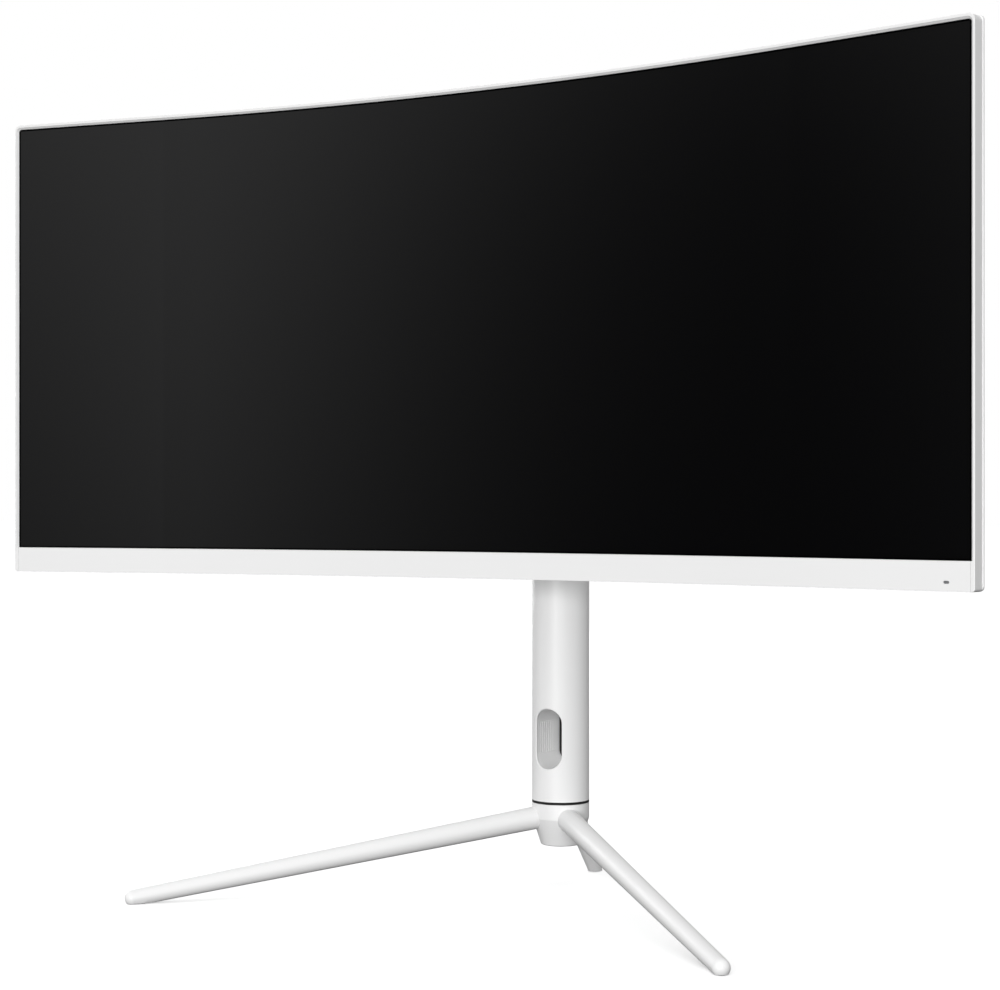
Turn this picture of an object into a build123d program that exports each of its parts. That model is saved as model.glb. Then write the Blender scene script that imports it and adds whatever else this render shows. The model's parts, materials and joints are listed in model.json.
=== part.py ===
from build123d import *
from math import atan2, cos, hypot, radians, sin
import os

# Curved 29.5 inch ultrawide desk monitor on a round, height-adjustable column with three legs.
# Millimetres, +Z up. The viewer sits at -Y. The origin is on the desk, under the middle of the
# object's box. Depths are measured square to the curved glass, from its face towards the back.

os.makedirs("parts", exist_ok=True)

# ---- Driving dimensions -----------------------------------------------------------------------

# Visible screen and its plan curve: an arc in the middle, then a straight run at each end
SCREEN_BOTTOM = 233.6
SCREEN_HEIGHT = 296.4
CURVE_RADIUS = 1347.6
HALF_ANGLE = 9.88
FLAT_RUN = 115.7
GLASS_TO_COLUMN = 130.0

# Frame round the screen
BORDER = 2.6
TOP_BORDER = 3.0
CHIN_HEIGHT = 17.0
LIP_PROUD = 1.4
LIP_BEVEL = 1.25
FRAME_WALL = 1.2
FRAME_DEPTH = 7.5
EDGE_ROUND = 0.4
TOP_CORNER = 4.0
BOTTOM_CORNER = 1.75
SCREEN_CORNER = 2.0

# Rear cover
RIM_PROUD = 0.7
RIM_THICK = 1.2
COVER_DEPTH = 22.0
COVER_SLOPE = 30.0
COVER_WALL = 2.2
BULGE_DEPTH = 46.0
BULGE_WIDTH = 300.0
BULGE_HEIGHT = 196.0
BULGE_CORNER = 20.0
BULGE_TAPER = 32.0
BULGE_REACH = 36.0
BULGE_ARC_RISE = 14.0
BULGE_ROUND = 5.0
RIM_CORNER = 3.0
RIM_ROUND = 0.4

# Stand
COLUMN_Y = 78.0
COLUMN_RADIUS = 20.0
COLUMN_WALL = 2.5
COLUMN_BOTTOM = 58.4
COLUMN_SPLIT = 130.0
COLUMN_TOP = 414.0
HUB_TOP = 56.5
HUB_WAIST = 46.0
HUB_BOTTOM = 27.0
HUB_BOTTOM_RADIUS = 13.7
HUB_CHAMFER = 0.6
LEG_AXIS_HEIGHT = 48.7
LEG_SLOPE = 0.1518
LEG_ROOT_RADIUS = 8.1
LEG_TIP_RADIUS = 5.53
LEG_REACH = 295.6
LEG_SPREAD = 45.45
BASE_TURN = 0.45
STRUT_TOP = (15.0, 53.4)
STRUT_FOOT = (52.6, 1.0)
STRUT_TOP_RADIUS = 7.8
STRUT_END_SHARE = 1.2
STRUT_END_RADIUS = 4.4
SOLE = 0.5
PAD_THICK = 1.7

# Cable hole through the column
HOLE_WIDTH = 19.7
HOLE_HEIGHT = 41.5
HOLE_CENTRE = 101.8
HOLE_CHAMFER = 0.6
TUNNEL_WALL = 1.6

# Height slide, tilt hinge and their travel
MOUNT_HEIGHT = 362.0
HEIGHT_TRAVEL = 110.0
HINGE_Y = 30.0
ROD_RADIUS = 2.5
ROD_X = 11.5
ROD_Y = COLUMN_Y + 4.0
AXLE_RADIUS = 4.0
SPINDLE_RADIUS = 8.0
SWIVEL_LIMIT = 25.0
STOP_RADIUS = 14.0
DRUM_HEIGHT = 401.0
DRUM_RADIUS = 9.5
COIL_THICK = 1.5

# Fits, and a size that cutters reach beyond what they cut
RUNNING = 0.05
GAP = 0.1
PRESS_GAP = 0.2
CUT = 40.0

# ---- Worked-out places ------------------------------------------------------------------------

GLASS_Y = COLUMN_Y - GLASS_TO_COLUMN
CURVE_CENTRE_Y = GLASS_Y - CURVE_RADIUS
SCREEN_TOP = SCREEN_BOTTOM + SCREEN_HEIGHT
FRAME_TOP = SCREEN_TOP + TOP_BORDER
FRAME_BOTTOM = SCREEN_BOTTOM - CHIN_HEIGHT
CHIN_DEPTH = 3.0
CHIN_LEDGE = SCREEN_BOTTOM - 4.6
POCKET_SIDE = BORDER - FRAME_WALL
POCKET_BOTTOM = CHIN_LEDGE + 0.1
POCKET_TOP = FRAME_TOP - FRAME_WALL
BACK_Y = GLASS_Y + BULGE_DEPTH
RIM_BACK = FRAME_DEPTH + RIM_THICK
COLUMN_BORE = COLUMN_RADIUS - COLUMN_WALL
COLUMN_FRONT_Y = COLUMN_Y - COLUMN_RADIUS


# ---- Helpers ----------------------------------------------------------------------------------


def curve_point(depth, side, run=0.0):
    """Plan point at a depth behind the glass: the middle (side 0), or one end of the arc
    (side -1 or 1) and then run along the straight stretch beyond it."""
    turn = radians(side * HALF_ANGLE)
    radius = CURVE_RADIUS + depth
    x = radius * sin(turn) + side * run * cos(turn)
    y = CURVE_CENTRE_Y + radius * cos(turn) - side * run * sin(turn)
    return (x, y)


def depth_at(point):
    """How far a point lies behind the glass."""
    turn = radians(HALF_ANGLE)
    across, along = abs(point.X), point.Y - CURVE_CENTRE_Y
    if atan2(across, along) < turn:
        return hypot(across, along) - CURVE_RADIUS
    return across * sin(turn) + along * cos(turn) - CURVE_RADIUS


def curved_layer(front, back, side, bottom, top, mode=Mode.ADD):
    """A layer that follows the glass, from depth front to depth back, reaching side past each
    end of the visible screen."""
    with BuildSketch(Plane.XY.offset(bottom)) as plan:
        with BuildLine():
            ends = []
            for depth in (front, back):
                left, right = (curve_point(depth, s, FLAT_RUN + side) for s in (-1, 1))
                bend_left, middle, bend_right = (curve_point(depth, s) for s in (-1, 0, 1))
                Line(left, bend_left)
                ThreePointArc(bend_left, middle, bend_right)
                Line(bend_right, right)
                ends.append((left, right))
            Line(ends[0][0], ends[1][0])
            Line(ends[0][1], ends[1][1])
        make_face()
    extrude(plan.sketch, amount=top - bottom, mode=mode)


def square_edges(piece, length):
    """The short edges of a curved layer that run straight back, lowest first."""
    return piece.edges().filter_by(lambda edge: abs(edge.length - length) < 0.01).sort_by(Axis.Z)


def edges_at_depth(piece, depth):
    """The edges that lie at one depth behind the glass, without the upright seams where the arc
    meets the straight runs."""
    seam = curve_point(depth, 1)[0]
    return piece.edges().filter_by(
        lambda edge: abs(depth_at(edge @ 0.5) - depth) < 0.02
        and abs(abs(edge.center().X) - seam) > 0.01
    )


def facing_plane(side, depth, run, height):
    """A plane on a straight end of the screen that looks at the viewer, with Z up the page."""
    turn = radians(side * HALF_ANGLE)
    x, y = curve_point(depth, side, run)
    return Plane(
        origin=(x, y, height), x_dir=(cos(turn), -sin(turn), 0), z_dir=(-sin(turn), -cos(turn), 0)
    )


def leg_point(angle, reach):
    """A point on a front leg's axis, reach out from the column axis; angle is from -Y."""
    x = reach * sin(radians(angle))
    y = COLUMN_Y - reach * cos(radians(angle))
    return Vector(x, y, LEG_AXIS_HEIGHT - LEG_SLOPE * reach)


def leg_radius(reach):
    """A front leg's radius at a reach from the column axis."""
    return LEG_ROOT_RADIUS + (LEG_TIP_RADIUS - LEG_ROOT_RADIUS) * reach / LEG_REACH


def strut_point(share):
    """A point on the rear leg's axis, from its top (0) to its foot (1)."""
    y = STRUT_TOP[0] + share * (STRUT_FOOT[0] - STRUT_TOP[0])
    z = STRUT_TOP[1] + share * (STRUT_FOOT[1] - STRUT_TOP[1])
    return Vector(0, COLUMN_Y + y, z)


def taper_between(start, end, start_radius, end_radius):
    """A round bar between two points that tapers from one radius to the other."""
    along = (end - start).normalized()
    with BuildSketch(Plane(origin=start, z_dir=along)) as root:
        Circle(start_radius)
    with BuildSketch(Plane(origin=end, z_dir=along)) as tip:
        Circle(end_radius)
    loft(Sketch() + [root.sketch, tip.sketch])


def rod_between(start, end, radius, mode=Mode.ADD):
    """A round bar between two points."""
    with BuildSketch(Plane(origin=start, z_dir=(end - start).normalized())) as section:
        Circle(radius)
    extrude(section.sketch, amount=(end - start).length, mode=mode)


def column_disc(bottom, top, radius, mode=Mode.ADD):
    """A disc round the column axis between two heights."""
    with BuildSketch(Plane.XY.offset(bottom)) as disc:
        with Locations((0, COLUMN_Y)):
            Circle(radius)
    extrude(disc.sketch, amount=top - bottom, mode=mode)


def cross_bar(y, z, radius, left, right, mode=Mode.ADD):
    """A round bar along X."""
    with BuildSketch(Plane.YZ.offset(left)) as section:
        with Locations((y, z)):
            Circle(radius)
    extrude(section.sketch, amount=right - left, mode=mode)


def block(x_range, y_range, z_range, mode=Mode.ADD):
    """A rectangular block between two places on each axis."""
    with BuildSketch(Plane.XY.offset(z_range[0])) as foot:
        with Locations(((x_range[0] + x_range[1]) / 2, (y_range[0] + y_range[1]) / 2)):
            Rectangle(x_range[1] - x_range[0], y_range[1] - y_range[0])
    extrude(foot.sketch, amount=z_range[1] - z_range[0], mode=mode)


# ---- Base -------------------------------------------------------------------------------------

TENON_RADIUS = 5.0
TENON_START = 8.5
TENON_END = 24.0
STRUT_TENON_RADIUS = 3.5
STRUT_TENON_SHARE = 0.3
FLANGE_RADIUS = 12.0
FLANGE_BOTTOM = 53.0
BOLT_RADIUS = 3.0
BOLT_HEAD_RADIUS = 5.0
BOLT_HEAD_TOP = 33.0
BOLT_HEAD_HEIGHT = 5.0
BOLT_HEX = 2.9
BOLT_HEX_DEPTH = 3.0
BOLT_TOP = 64.0
GRUB_RADIUS = 2.0
GRUB_REACH = 10.6
GRUB_BOTTOM = 33.5
GRUB_DIP = 0.5
GRUB_HEX = 1.1
GRUB_HEX_DEPTH = 2.0
STOP_PIN_RADIUS = 1.5
STOP_PIN_DEPTH = 2.5
STOP_PIN_TOP = 62.0
PAD_REACH = 293.0
PAD_LENGTH = 12.0
PAD_WIDTH = 5.0
REAR_PAD_RADIUS = 3.6
# The base stands turned a little under the display, as its swivel lets it
LEG_ANGLES = {"left": BASE_TURN - LEG_SPREAD, "right": BASE_TURN + LEG_SPREAD}

tenon_tops = [leg_point(angle, TENON_START) for angle in LEG_ANGLES.values()]
tenon_ends = [leg_point(angle, TENON_END) for angle in LEG_ANGLES.values()]
grub_places = [leg_point(angle, GRUB_REACH) for angle in LEG_ANGLES.values()]
grub_tops = [place.Z - TENON_RADIUS - GRUB_DIP for place in grub_places]

# The hub's turned outside, used again to shape the ends of the legs that seat on it
with BuildPart() as hub_form:
    with BuildSketch(Plane.XZ.offset(-COLUMN_Y)) as hub_profile:
        with BuildLine():
            Polyline(
                (0, HUB_BOTTOM),
                (HUB_BOTTOM_RADIUS, HUB_BOTTOM),
                (COLUMN_RADIUS, HUB_WAIST),
                (COLUMN_RADIUS, HUB_TOP),
                (0, HUB_TOP),
                close=True,
            )
        make_face()
    revolve(hub_profile.sketch, axis=Axis((0, COLUMN_Y, 0), (0, 0, 1)))

with BuildPart() as base_hub:
    add(hub_form.part)
    chamfer(base_hub.edges().sort_by(Axis.Z)[0], HUB_CHAMFER)
    column_disc(FLANGE_BOTTOM, HUB_TOP, FLANGE_RADIUS + RUNNING, Mode.SUBTRACT)
    column_disc(HUB_BOTTOM, FLANGE_BOTTOM, BOLT_RADIUS + GAP, Mode.SUBTRACT)
    column_disc(HUB_BOTTOM, BOLT_HEAD_TOP, BOLT_HEAD_RADIUS + GAP, Mode.SUBTRACT)
    for start, end in zip(tenon_tops, tenon_ends):
        rod_between(start, end, TENON_RADIUS, Mode.SUBTRACT)
    rod_between(strut_point(0), strut_point(STRUT_TENON_SHARE), STRUT_TENON_RADIUS, Mode.SUBTRACT)
    for place, top in zip(grub_places, grub_tops):
        bottom = Vector(place.X, place.Y, HUB_BOTTOM)
        rod_between(bottom, Vector(place.X, place.Y, top), GRUB_RADIUS, Mode.SUBTRACT)
    with BuildSketch(Plane.XY.offset(HUB_TOP)) as stop_hole:
        with Locations((0, COLUMN_Y + STOP_RADIUS)):
            Circle(STOP_PIN_RADIUS)
    extrude(stop_hole.sketch, amount=-STOP_PIN_DEPTH, mode=Mode.SUBTRACT)
base_hub.part.label = "base_hub"
export_step(base_hub.part, "parts/base_hub.step")

for name, angle in LEG_ANGLES.items():
    tip = leg_point(angle, LEG_REACH)
    with BuildPart() as front_leg:
        taper_between(leg_point(angle, TENON_START), tip, leg_radius(TENON_START), LEG_TIP_RADIUS)
        with Locations(tip):
            Sphere(LEG_TIP_RADIUS)
        add(hub_form.part, mode=Mode.SUBTRACT)
        rod_between(leg_point(angle, TENON_START), leg_point(angle, TENON_END), TENON_RADIUS)
        below = (-LEG_TIP_RADIUS, SOLE)
        block((tip.X - CUT, tip.X + CUT), (tip.Y - CUT, tip.Y + CUT), below, Mode.SUBTRACT)
        with BuildSketch(Plane.XY.offset(SOLE)) as pad_recess:
            pad = leg_point(angle, PAD_REACH)
            with Locations(Location((pad.X, pad.Y, 0), (0, 0, angle - 90))):
                SlotOverall(PAD_LENGTH, PAD_WIDTH)
        extrude(pad_recess.sketch, amount=PAD_THICK - SOLE, mode=Mode.SUBTRACT)
    front_leg.part.label = f"front_leg_{name}"
    export_step(front_leg.part, f"parts/front_leg_{name}.step")

with BuildPart() as rear_leg:
    taper_between(strut_point(0), strut_point(STRUT_END_SHARE), STRUT_TOP_RADIUS, STRUT_END_RADIUS)
    add(hub_form.part, mode=Mode.SUBTRACT)
    column_disc(HUB_WAIST, HUB_TOP + CUT, CUT, Mode.SUBTRACT)
    column_disc(-CUT, SOLE, 2 * CUT, Mode.SUBTRACT)
    rod_between(strut_point(0), strut_point(STRUT_TENON_SHARE), STRUT_TENON_RADIUS)
    with BuildSketch(Plane.XY.offset(SOLE)) as rear_recess:
        with Locations((0, COLUMN_Y + STRUT_FOOT[0])):
            Circle(REAR_PAD_RADIUS)
    extrude(rear_recess.sketch, amount=PAD_THICK - SOLE, mode=Mode.SUBTRACT)
rear_leg.part.label = "rear_leg"
export_step(rear_leg.part, "parts/rear_leg.step")

with BuildPart() as foot_pads:
    with BuildSketch() as soles:
        for angle in LEG_ANGLES.values():
            pad = leg_point(angle, PAD_REACH)
            with Locations(Location((pad.X, pad.Y, 0), (0, 0, angle - 90))):
                SlotOverall(PAD_LENGTH - GAP, PAD_WIDTH - GAP)
        with Locations((0, COLUMN_Y + STRUT_FOOT[0])):
            Circle(REAR_PAD_RADIUS - GAP)
    extrude(amount=PAD_THICK)
foot_pads.part.label = "foot_pads"
export_step(foot_pads.part, "parts/foot_pads.step")

with BuildPart() as leg_grub_screws:
    for place, top in zip(grub_places, grub_tops):
        low = Vector(place.X, place.Y, GRUB_BOTTOM)
        rod_between(low, Vector(place.X, place.Y, top), GRUB_RADIUS)
        with BuildSketch(Plane.XY.offset(GRUB_BOTTOM)) as socket:
            with Locations((place.X, place.Y)):
                RegularPolygon(GRUB_HEX, 6)
        extrude(socket.sketch, amount=GRUB_HEX_DEPTH, mode=Mode.SUBTRACT)
leg_grub_screws.part.label = "leg_grub_screws"
export_step(leg_grub_screws.part, "parts/leg_grub_screws.step")

with BuildPart() as base_bolt:
    column_disc(BOLT_HEAD_TOP - BOLT_HEAD_HEIGHT, BOLT_HEAD_TOP, BOLT_HEAD_RADIUS)
    column_disc(BOLT_HEAD_TOP, BOLT_TOP, BOLT_RADIUS)
    with BuildSketch(Plane.XY.offset(BOLT_HEAD_TOP - BOLT_HEAD_HEIGHT)) as socket:
        with Locations((0, COLUMN_Y)):
            RegularPolygon(BOLT_HEX, 6)
    extrude(socket.sketch, amount=BOLT_HEX_DEPTH, mode=Mode.SUBTRACT)
base_bolt.part.label = "base_bolt"
export_step(base_bolt.part, "parts/base_bolt.step")

# The column turns on this spindle; a nut and a disc spring give the swivel its drag
SPINDLE_TOP = 78.0
SPINDLE_CHAMFER = 0.8
SWIVEL_NUT_RADIUS = 13.4
DISC_SPRING_THICK = 1.1
NUT_BOTTOM = 73.0
HOUSING_TOP = 70.0
BUSH_WALL = 2.0
BUSH_FLANGE_RADIUS = 13.0
BUSH_TOP = 71.0
with BuildPart() as swivel_spindle:
    column_disc(FLANGE_BOTTOM, HUB_TOP - GAP, FLANGE_RADIUS)
    column_disc(FLANGE_BOTTOM, SPINDLE_TOP, SPINDLE_RADIUS)
    column_disc(FLANGE_BOTTOM, BOLT_TOP + 1, BOLT_RADIUS, Mode.SUBTRACT)
    chamfer(swivel_spindle.edges().sort_by(Axis.Z)[-1], SPINDLE_CHAMFER)
swivel_spindle.part.label = "swivel_spindle"
export_step(swivel_spindle.part, "parts/swivel_spindle.step")

with BuildPart() as swivel_disc_spring:
    with BuildSketch(Plane.XZ.offset(-COLUMN_Y)) as cone_profile:
        with BuildLine():
            Polyline(
                (SPINDLE_RADIUS + GAP, NUT_BOTTOM - 1),
                (SPINDLE_RADIUS + GAP, NUT_BOTTOM),
                (BUSH_FLANGE_RADIUS - 1, BUSH_TOP + GAP + DISC_SPRING_THICK),
                (BUSH_FLANGE_RADIUS - 1, BUSH_TOP + GAP),
                close=True,
            )
        make_face()
    revolve(cone_profile.sketch, axis=Axis((0, COLUMN_Y, 0), (0, 0, 1)))
swivel_disc_spring.part.label = "swivel_disc_spring"
export_step(swivel_disc_spring.part, "parts/swivel_disc_spring.step")

with BuildPart() as swivel_nut:
    with BuildSketch(Plane.XY.offset(NUT_BOTTOM)) as nut_plan:
        with Locations((0, COLUMN_Y)):
            RegularPolygon(SWIVEL_NUT_RADIUS, 6)
            Circle(SPINDLE_RADIUS, mode=Mode.SUBTRACT)
    extrude(nut_plan.sketch, amount=SPINDLE_TOP - NUT_BOTTOM)
swivel_nut.part.label = "swivel_nut"
export_step(swivel_nut.part, "parts/swivel_nut.step")

with BuildPart() as swivel_stop_pin:
    with BuildSketch(Plane.XY.offset(HUB_TOP - STOP_PIN_DEPTH)) as pin_plan:
        with Locations((0, COLUMN_Y + STOP_RADIUS)):
            Circle(STOP_PIN_RADIUS)
    extrude(pin_plan.sketch, amount=STOP_PIN_TOP - HUB_TOP + STOP_PIN_DEPTH)
swivel_stop_pin.part.label = "swivel_stop_pin"
export_step(swivel_stop_pin.part, "parts/swivel_stop_pin.step")


# ---- Column -----------------------------------------------------------------------------------

RING_BOTTOM = HUB_TOP + 0.3
STOP_SLOT_TOP = 63.0
SLOT_WIDTH = 12.0
SLOT_CORNER = 1.0
NECK_HALF_HEIGHT = 12.0
NECK_CLEARANCE = 1.0
slot_top = MOUNT_HEIGHT + NECK_HALF_HEIGHT + NECK_CLEARANCE
slot_bottom = MOUNT_HEIGHT - NECK_HALF_HEIGHT - HEIGHT_TRAVEL - NECK_CLEARANCE


def stop_slot(bottom, top):
    """The curved slot that the stop pin runs in."""
    with BuildSketch(Plane.XY.offset(bottom)) as slot_plan:
        with Locations((0, COLUMN_Y)):
            arc = CenterArc((0, 0), STOP_RADIUS, 90 - SWIVEL_LIMIT, 2 * SWIVEL_LIMIT, mode=Mode.PRIVATE)
            SlotArc(arc, 2 * STOP_PIN_RADIUS + 2 * PRESS_GAP)
    extrude(slot_plan.sketch, amount=top - bottom, mode=Mode.SUBTRACT)


with BuildPart() as swivel_ring:
    column_disc(RING_BOTTOM, COLUMN_BOTTOM, COLUMN_RADIUS)
    column_disc(RING_BOTTOM, COLUMN_BOTTOM, SPINDLE_RADIUS + RUNNING + BUSH_WALL, Mode.SUBTRACT)
    stop_slot(RING_BOTTOM, COLUMN_BOTTOM)
swivel_ring.part.label = "swivel_ring"
export_step(swivel_ring.part, "parts/swivel_ring.step")

with BuildPart() as swivel_housing:
    column_disc(COLUMN_BOTTOM, HOUSING_TOP, COLUMN_BORE)
    column_disc(COLUMN_BOTTOM, HOUSING_TOP, SPINDLE_RADIUS + RUNNING + BUSH_WALL, Mode.SUBTRACT)
    stop_slot(COLUMN_BOTTOM, STOP_SLOT_TOP)
swivel_housing.part.label = "swivel_housing"
export_step(swivel_housing.part, "parts/swivel_housing.step")

with BuildPart() as swivel_bush:
    column_disc(RING_BOTTOM, HOUSING_TOP, SPINDLE_RADIUS + RUNNING + BUSH_WALL)
    column_disc(HOUSING_TOP, BUSH_TOP, BUSH_FLANGE_RADIUS)
    column_disc(RING_BOTTOM, BUSH_TOP, SPINDLE_RADIUS + RUNNING, Mode.SUBTRACT)
swivel_bush.part.label = "swivel_bush"
export_step(swivel_bush.part, "parts/swivel_bush.step")

# The column is one tube in two nodes: the foot with the cable hole, and the long part above it with
# the slot that the hinge's neck slides in
with BuildPart() as column_foot:
    column_disc(COLUMN_BOTTOM, COLUMN_SPLIT, COLUMN_RADIUS)
    column_disc(COLUMN_BOTTOM, COLUMN_SPLIT, COLUMN_BORE, Mode.SUBTRACT)
    with BuildSketch(Plane.XZ.offset(-COLUMN_Y)) as hole_outline:
        with Locations(Location((0, HOLE_CENTRE, 0), (0, 0, 90))):
            SlotOverall(HOLE_HEIGHT, HOLE_WIDTH)
    extrude(hole_outline.sketch, amount=COLUMN_RADIUS + 1, both=True, mode=Mode.SUBTRACT)
    rim_edges = column_foot.edges().filter_by(
        lambda edge: abs(edge.center().Z - HOLE_CENTRE) < HOLE_HEIGHT / 2
        and abs(hypot((edge @ 0.5).X, (edge @ 0.5).Y - COLUMN_Y) - COLUMN_RADIUS) < 0.01
    )
    chamfer(rim_edges, HOLE_CHAMFER)
column_foot.part.label = "column_foot"
export_step(column_foot.part, "parts/column_foot.step")

with BuildPart() as column_tube:
    column_disc(COLUMN_SPLIT, COLUMN_TOP, COLUMN_RADIUS)
    column_disc(COLUMN_SPLIT, COLUMN_TOP, COLUMN_BORE, Mode.SUBTRACT)
    with BuildSketch(Plane.XZ.offset(-COLUMN_Y)) as neck_slot:
        with Locations((0, (slot_top + slot_bottom) / 2)):
            RectangleRounded(SLOT_WIDTH, slot_top - slot_bottom, SLOT_CORNER)
    extrude(neck_slot.sketch, amount=COLUMN_RADIUS + 1, mode=Mode.SUBTRACT)
column_tube.part.label = "column_tube"
export_step(column_tube.part, "parts/column_tube.step")

# Liner of the cable hole, with fine upright grooves in its side walls
GROOVE_PITCH = 2.8
GROOVE_RADIUS = 0.45
GROOVE_COUNT = 9
liner_z = (HOLE_CENTRE - HOLE_HEIGHT, HOLE_CENTRE + HOLE_HEIGHT)
with BuildPart() as cable_tunnel:
    column_disc(*liner_z, COLUMN_BORE)
    with BuildSketch(Plane.XZ.offset(-COLUMN_Y)) as liner_outline:
        with Locations(Location((0, HOLE_CENTRE, 0), (0, 0, 90))):
            SlotOverall(HOLE_HEIGHT + 2 * TUNNEL_WALL, HOLE_WIDTH + 2 * TUNNEL_WALL)
            SlotOverall(HOLE_HEIGHT, HOLE_WIDTH, mode=Mode.SUBTRACT)
    extrude(liner_outline.sketch, amount=COLUMN_RADIUS, both=True, mode=Mode.INTERSECT)
    straight = HOLE_HEIGHT - HOLE_WIDTH
    with BuildSketch(Plane.XY.offset(HOLE_CENTRE - straight / 2)) as groove_plan:
        with Locations((0, COLUMN_Y)):
            with GridLocations(HOLE_WIDTH, GROOVE_PITCH, 2, GROOVE_COUNT):
                Circle(GROOVE_RADIUS)
    extrude(groove_plan.sketch, amount=straight, mode=Mode.SUBTRACT)
cable_tunnel.part.label = "cable_tunnel"
export_step(cable_tunnel.part, "parts/cable_tunnel.step")

# Thin black grommet in the rear mouth of the hole
GROMMET_WALL = 1.2
GROMMET_PROUD = 0.4
GROMMET_SUNK = 0.7
with BuildPart() as cable_grommet:
    column_disc(*liner_z, COLUMN_RADIUS + GROMMET_PROUD)
    column_disc(*liner_z, COLUMN_RADIUS - GROMMET_SUNK, Mode.SUBTRACT)
    with BuildSketch(Plane.XZ.offset(-COLUMN_Y)) as grommet_outline:
        with Locations(Location((0, HOLE_CENTRE, 0), (0, 0, 90))):
            SlotOverall(HOLE_HEIGHT - GAP, HOLE_WIDTH - GAP)
            SlotOverall(
                HOLE_HEIGHT - 2 * GROMMET_WALL, HOLE_WIDTH - 2 * GROMMET_WALL, mode=Mode.SUBTRACT
            )
    extrude(grommet_outline.sketch, amount=-COLUMN_RADIUS - 2, mode=Mode.INTERSECT)
cable_grommet.part.label = "cable_grommet"
export_step(cable_grommet.part, "parts/cable_grommet.step")

# Guide rods between two holders; the upper one also carries the spring drum
LOWER_HOLDER = (222.0, 228.0)
UPPER_HOLDER = (386.0, 389.5)
ROD_SOCKET_FLOOR = LOWER_HOLDER[0] + 2.0
DRUM_Y = COLUMN_Y + 1.0
DRUM_AXLE_RADIUS = 3.0
DRUM_HALF = 8.0
FLANGE_STEP = 1.0
STRIP_Y = DRUM_Y + DRUM_RADIUS + COIL_THICK + RUNNING
STRIP_THICK = 0.4
STRIP_WIDTH = 12.0
EAR_INSIDE = 8.5
EAR_THICK = 3.0
EAR_HALF_DEPTH = 5.0
EAR_ABOVE_AXLE = 6.0
rod_places = [(-ROD_X, ROD_Y), (ROD_X, ROD_Y)]

with BuildPart() as guide_rods:
    with BuildSketch(Plane.XY.offset(ROD_SOCKET_FLOOR)) as rod_plan:
        with Locations(*rod_places):
            Circle(ROD_RADIUS)
    extrude(rod_plan.sketch, amount=UPPER_HOLDER[1] - ROD_SOCKET_FLOOR)
guide_rods.part.label = "guide_rods"
export_step(guide_rods.part, "parts/guide_rods.step")

with BuildPart() as rod_holder_lower:
    column_disc(*LOWER_HOLDER, COLUMN_BORE)
    with BuildSketch(Plane.XY.offset(ROD_SOCKET_FLOOR)) as rod_sockets:
        with Locations(*rod_places):
            Circle(ROD_RADIUS)
    extrude(rod_sockets.sketch, amount=LOWER_HOLDER[1] - ROD_SOCKET_FLOOR, mode=Mode.SUBTRACT)
rod_holder_lower.part.label = "rod_holder_lower"
export_step(rod_holder_lower.part, "parts/rod_holder_lower.step")

with BuildPart() as rod_holder_upper:
    column_disc(*UPPER_HOLDER, COLUMN_BORE)
    for side in (-1, 1):
        inside, outside = sorted((side * EAR_INSIDE, side * (EAR_INSIDE + EAR_THICK)))
        ear_y = (DRUM_Y - EAR_HALF_DEPTH, DRUM_Y + EAR_HALF_DEPTH)
        block((inside, outside), ear_y, (UPPER_HOLDER[1], DRUM_HEIGHT + EAR_ABOVE_AXLE))
    cross_bar(DRUM_Y, DRUM_HEIGHT, DRUM_AXLE_RADIUS, -CUT, CUT, Mode.SUBTRACT)
    with BuildSketch(Plane.XY.offset(UPPER_HOLDER[0])) as rod_holes:
        with Locations(*rod_places):
            Circle(ROD_RADIUS)
    extrude(rod_holes.sketch, amount=UPPER_HOLDER[1] - UPPER_HOLDER[0], mode=Mode.SUBTRACT)
    window_y = (STRIP_Y - 1.3, STRIP_Y + 3)
    block((-STRIP_WIDTH / 2 - 1, STRIP_WIDTH / 2 + 1), window_y, UPPER_HOLDER, Mode.SUBTRACT)
rod_holder_upper.part.label = "rod_holder_upper"
export_step(rod_holder_upper.part, "parts/rod_holder_upper.step")

with BuildPart() as drum_axle:
    axle_half = EAR_INSIDE + EAR_THICK + 1
    cross_bar(DRUM_Y, DRUM_HEIGHT, DRUM_AXLE_RADIUS, -axle_half, axle_half)
    chamfer(drum_axle.edges(), 0.4)
drum_axle.part.label = "drum_axle"
export_step(drum_axle.part, "parts/drum_axle.step")

# The constant-force spring: coiled on the drum, its free end held by the carriage
with BuildPart() as spring_drum:
    cross_bar(DRUM_Y, DRUM_HEIGHT, DRUM_RADIUS + COIL_THICK, -STRIP_WIDTH / 2, STRIP_WIDTH / 2)
    cross_bar(DRUM_Y, DRUM_HEIGHT, DRUM_RADIUS - FLANGE_STEP, -DRUM_HALF, DRUM_HALF)
    cross_bar(DRUM_Y, DRUM_HEIGHT, DRUM_AXLE_RADIUS + RUNNING, -CUT, CUT, Mode.SUBTRACT)
spring_drum.part.label = "spring_drum"
export_step(spring_drum.part, "parts/spring_drum.step")

STRIP_END = MOUNT_HEIGHT + 2.0
with BuildPart() as lift_spring_strip:
    strip_y = (STRIP_Y, STRIP_Y + STRIP_THICK)
    block((-STRIP_WIDTH / 2, STRIP_WIDTH / 2), strip_y, (STRIP_END, DRUM_HEIGHT))
lift_spring_strip.part.label = "lift_spring_strip"
export_step(lift_spring_strip.part, "parts/lift_spring_strip.step")

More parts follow.
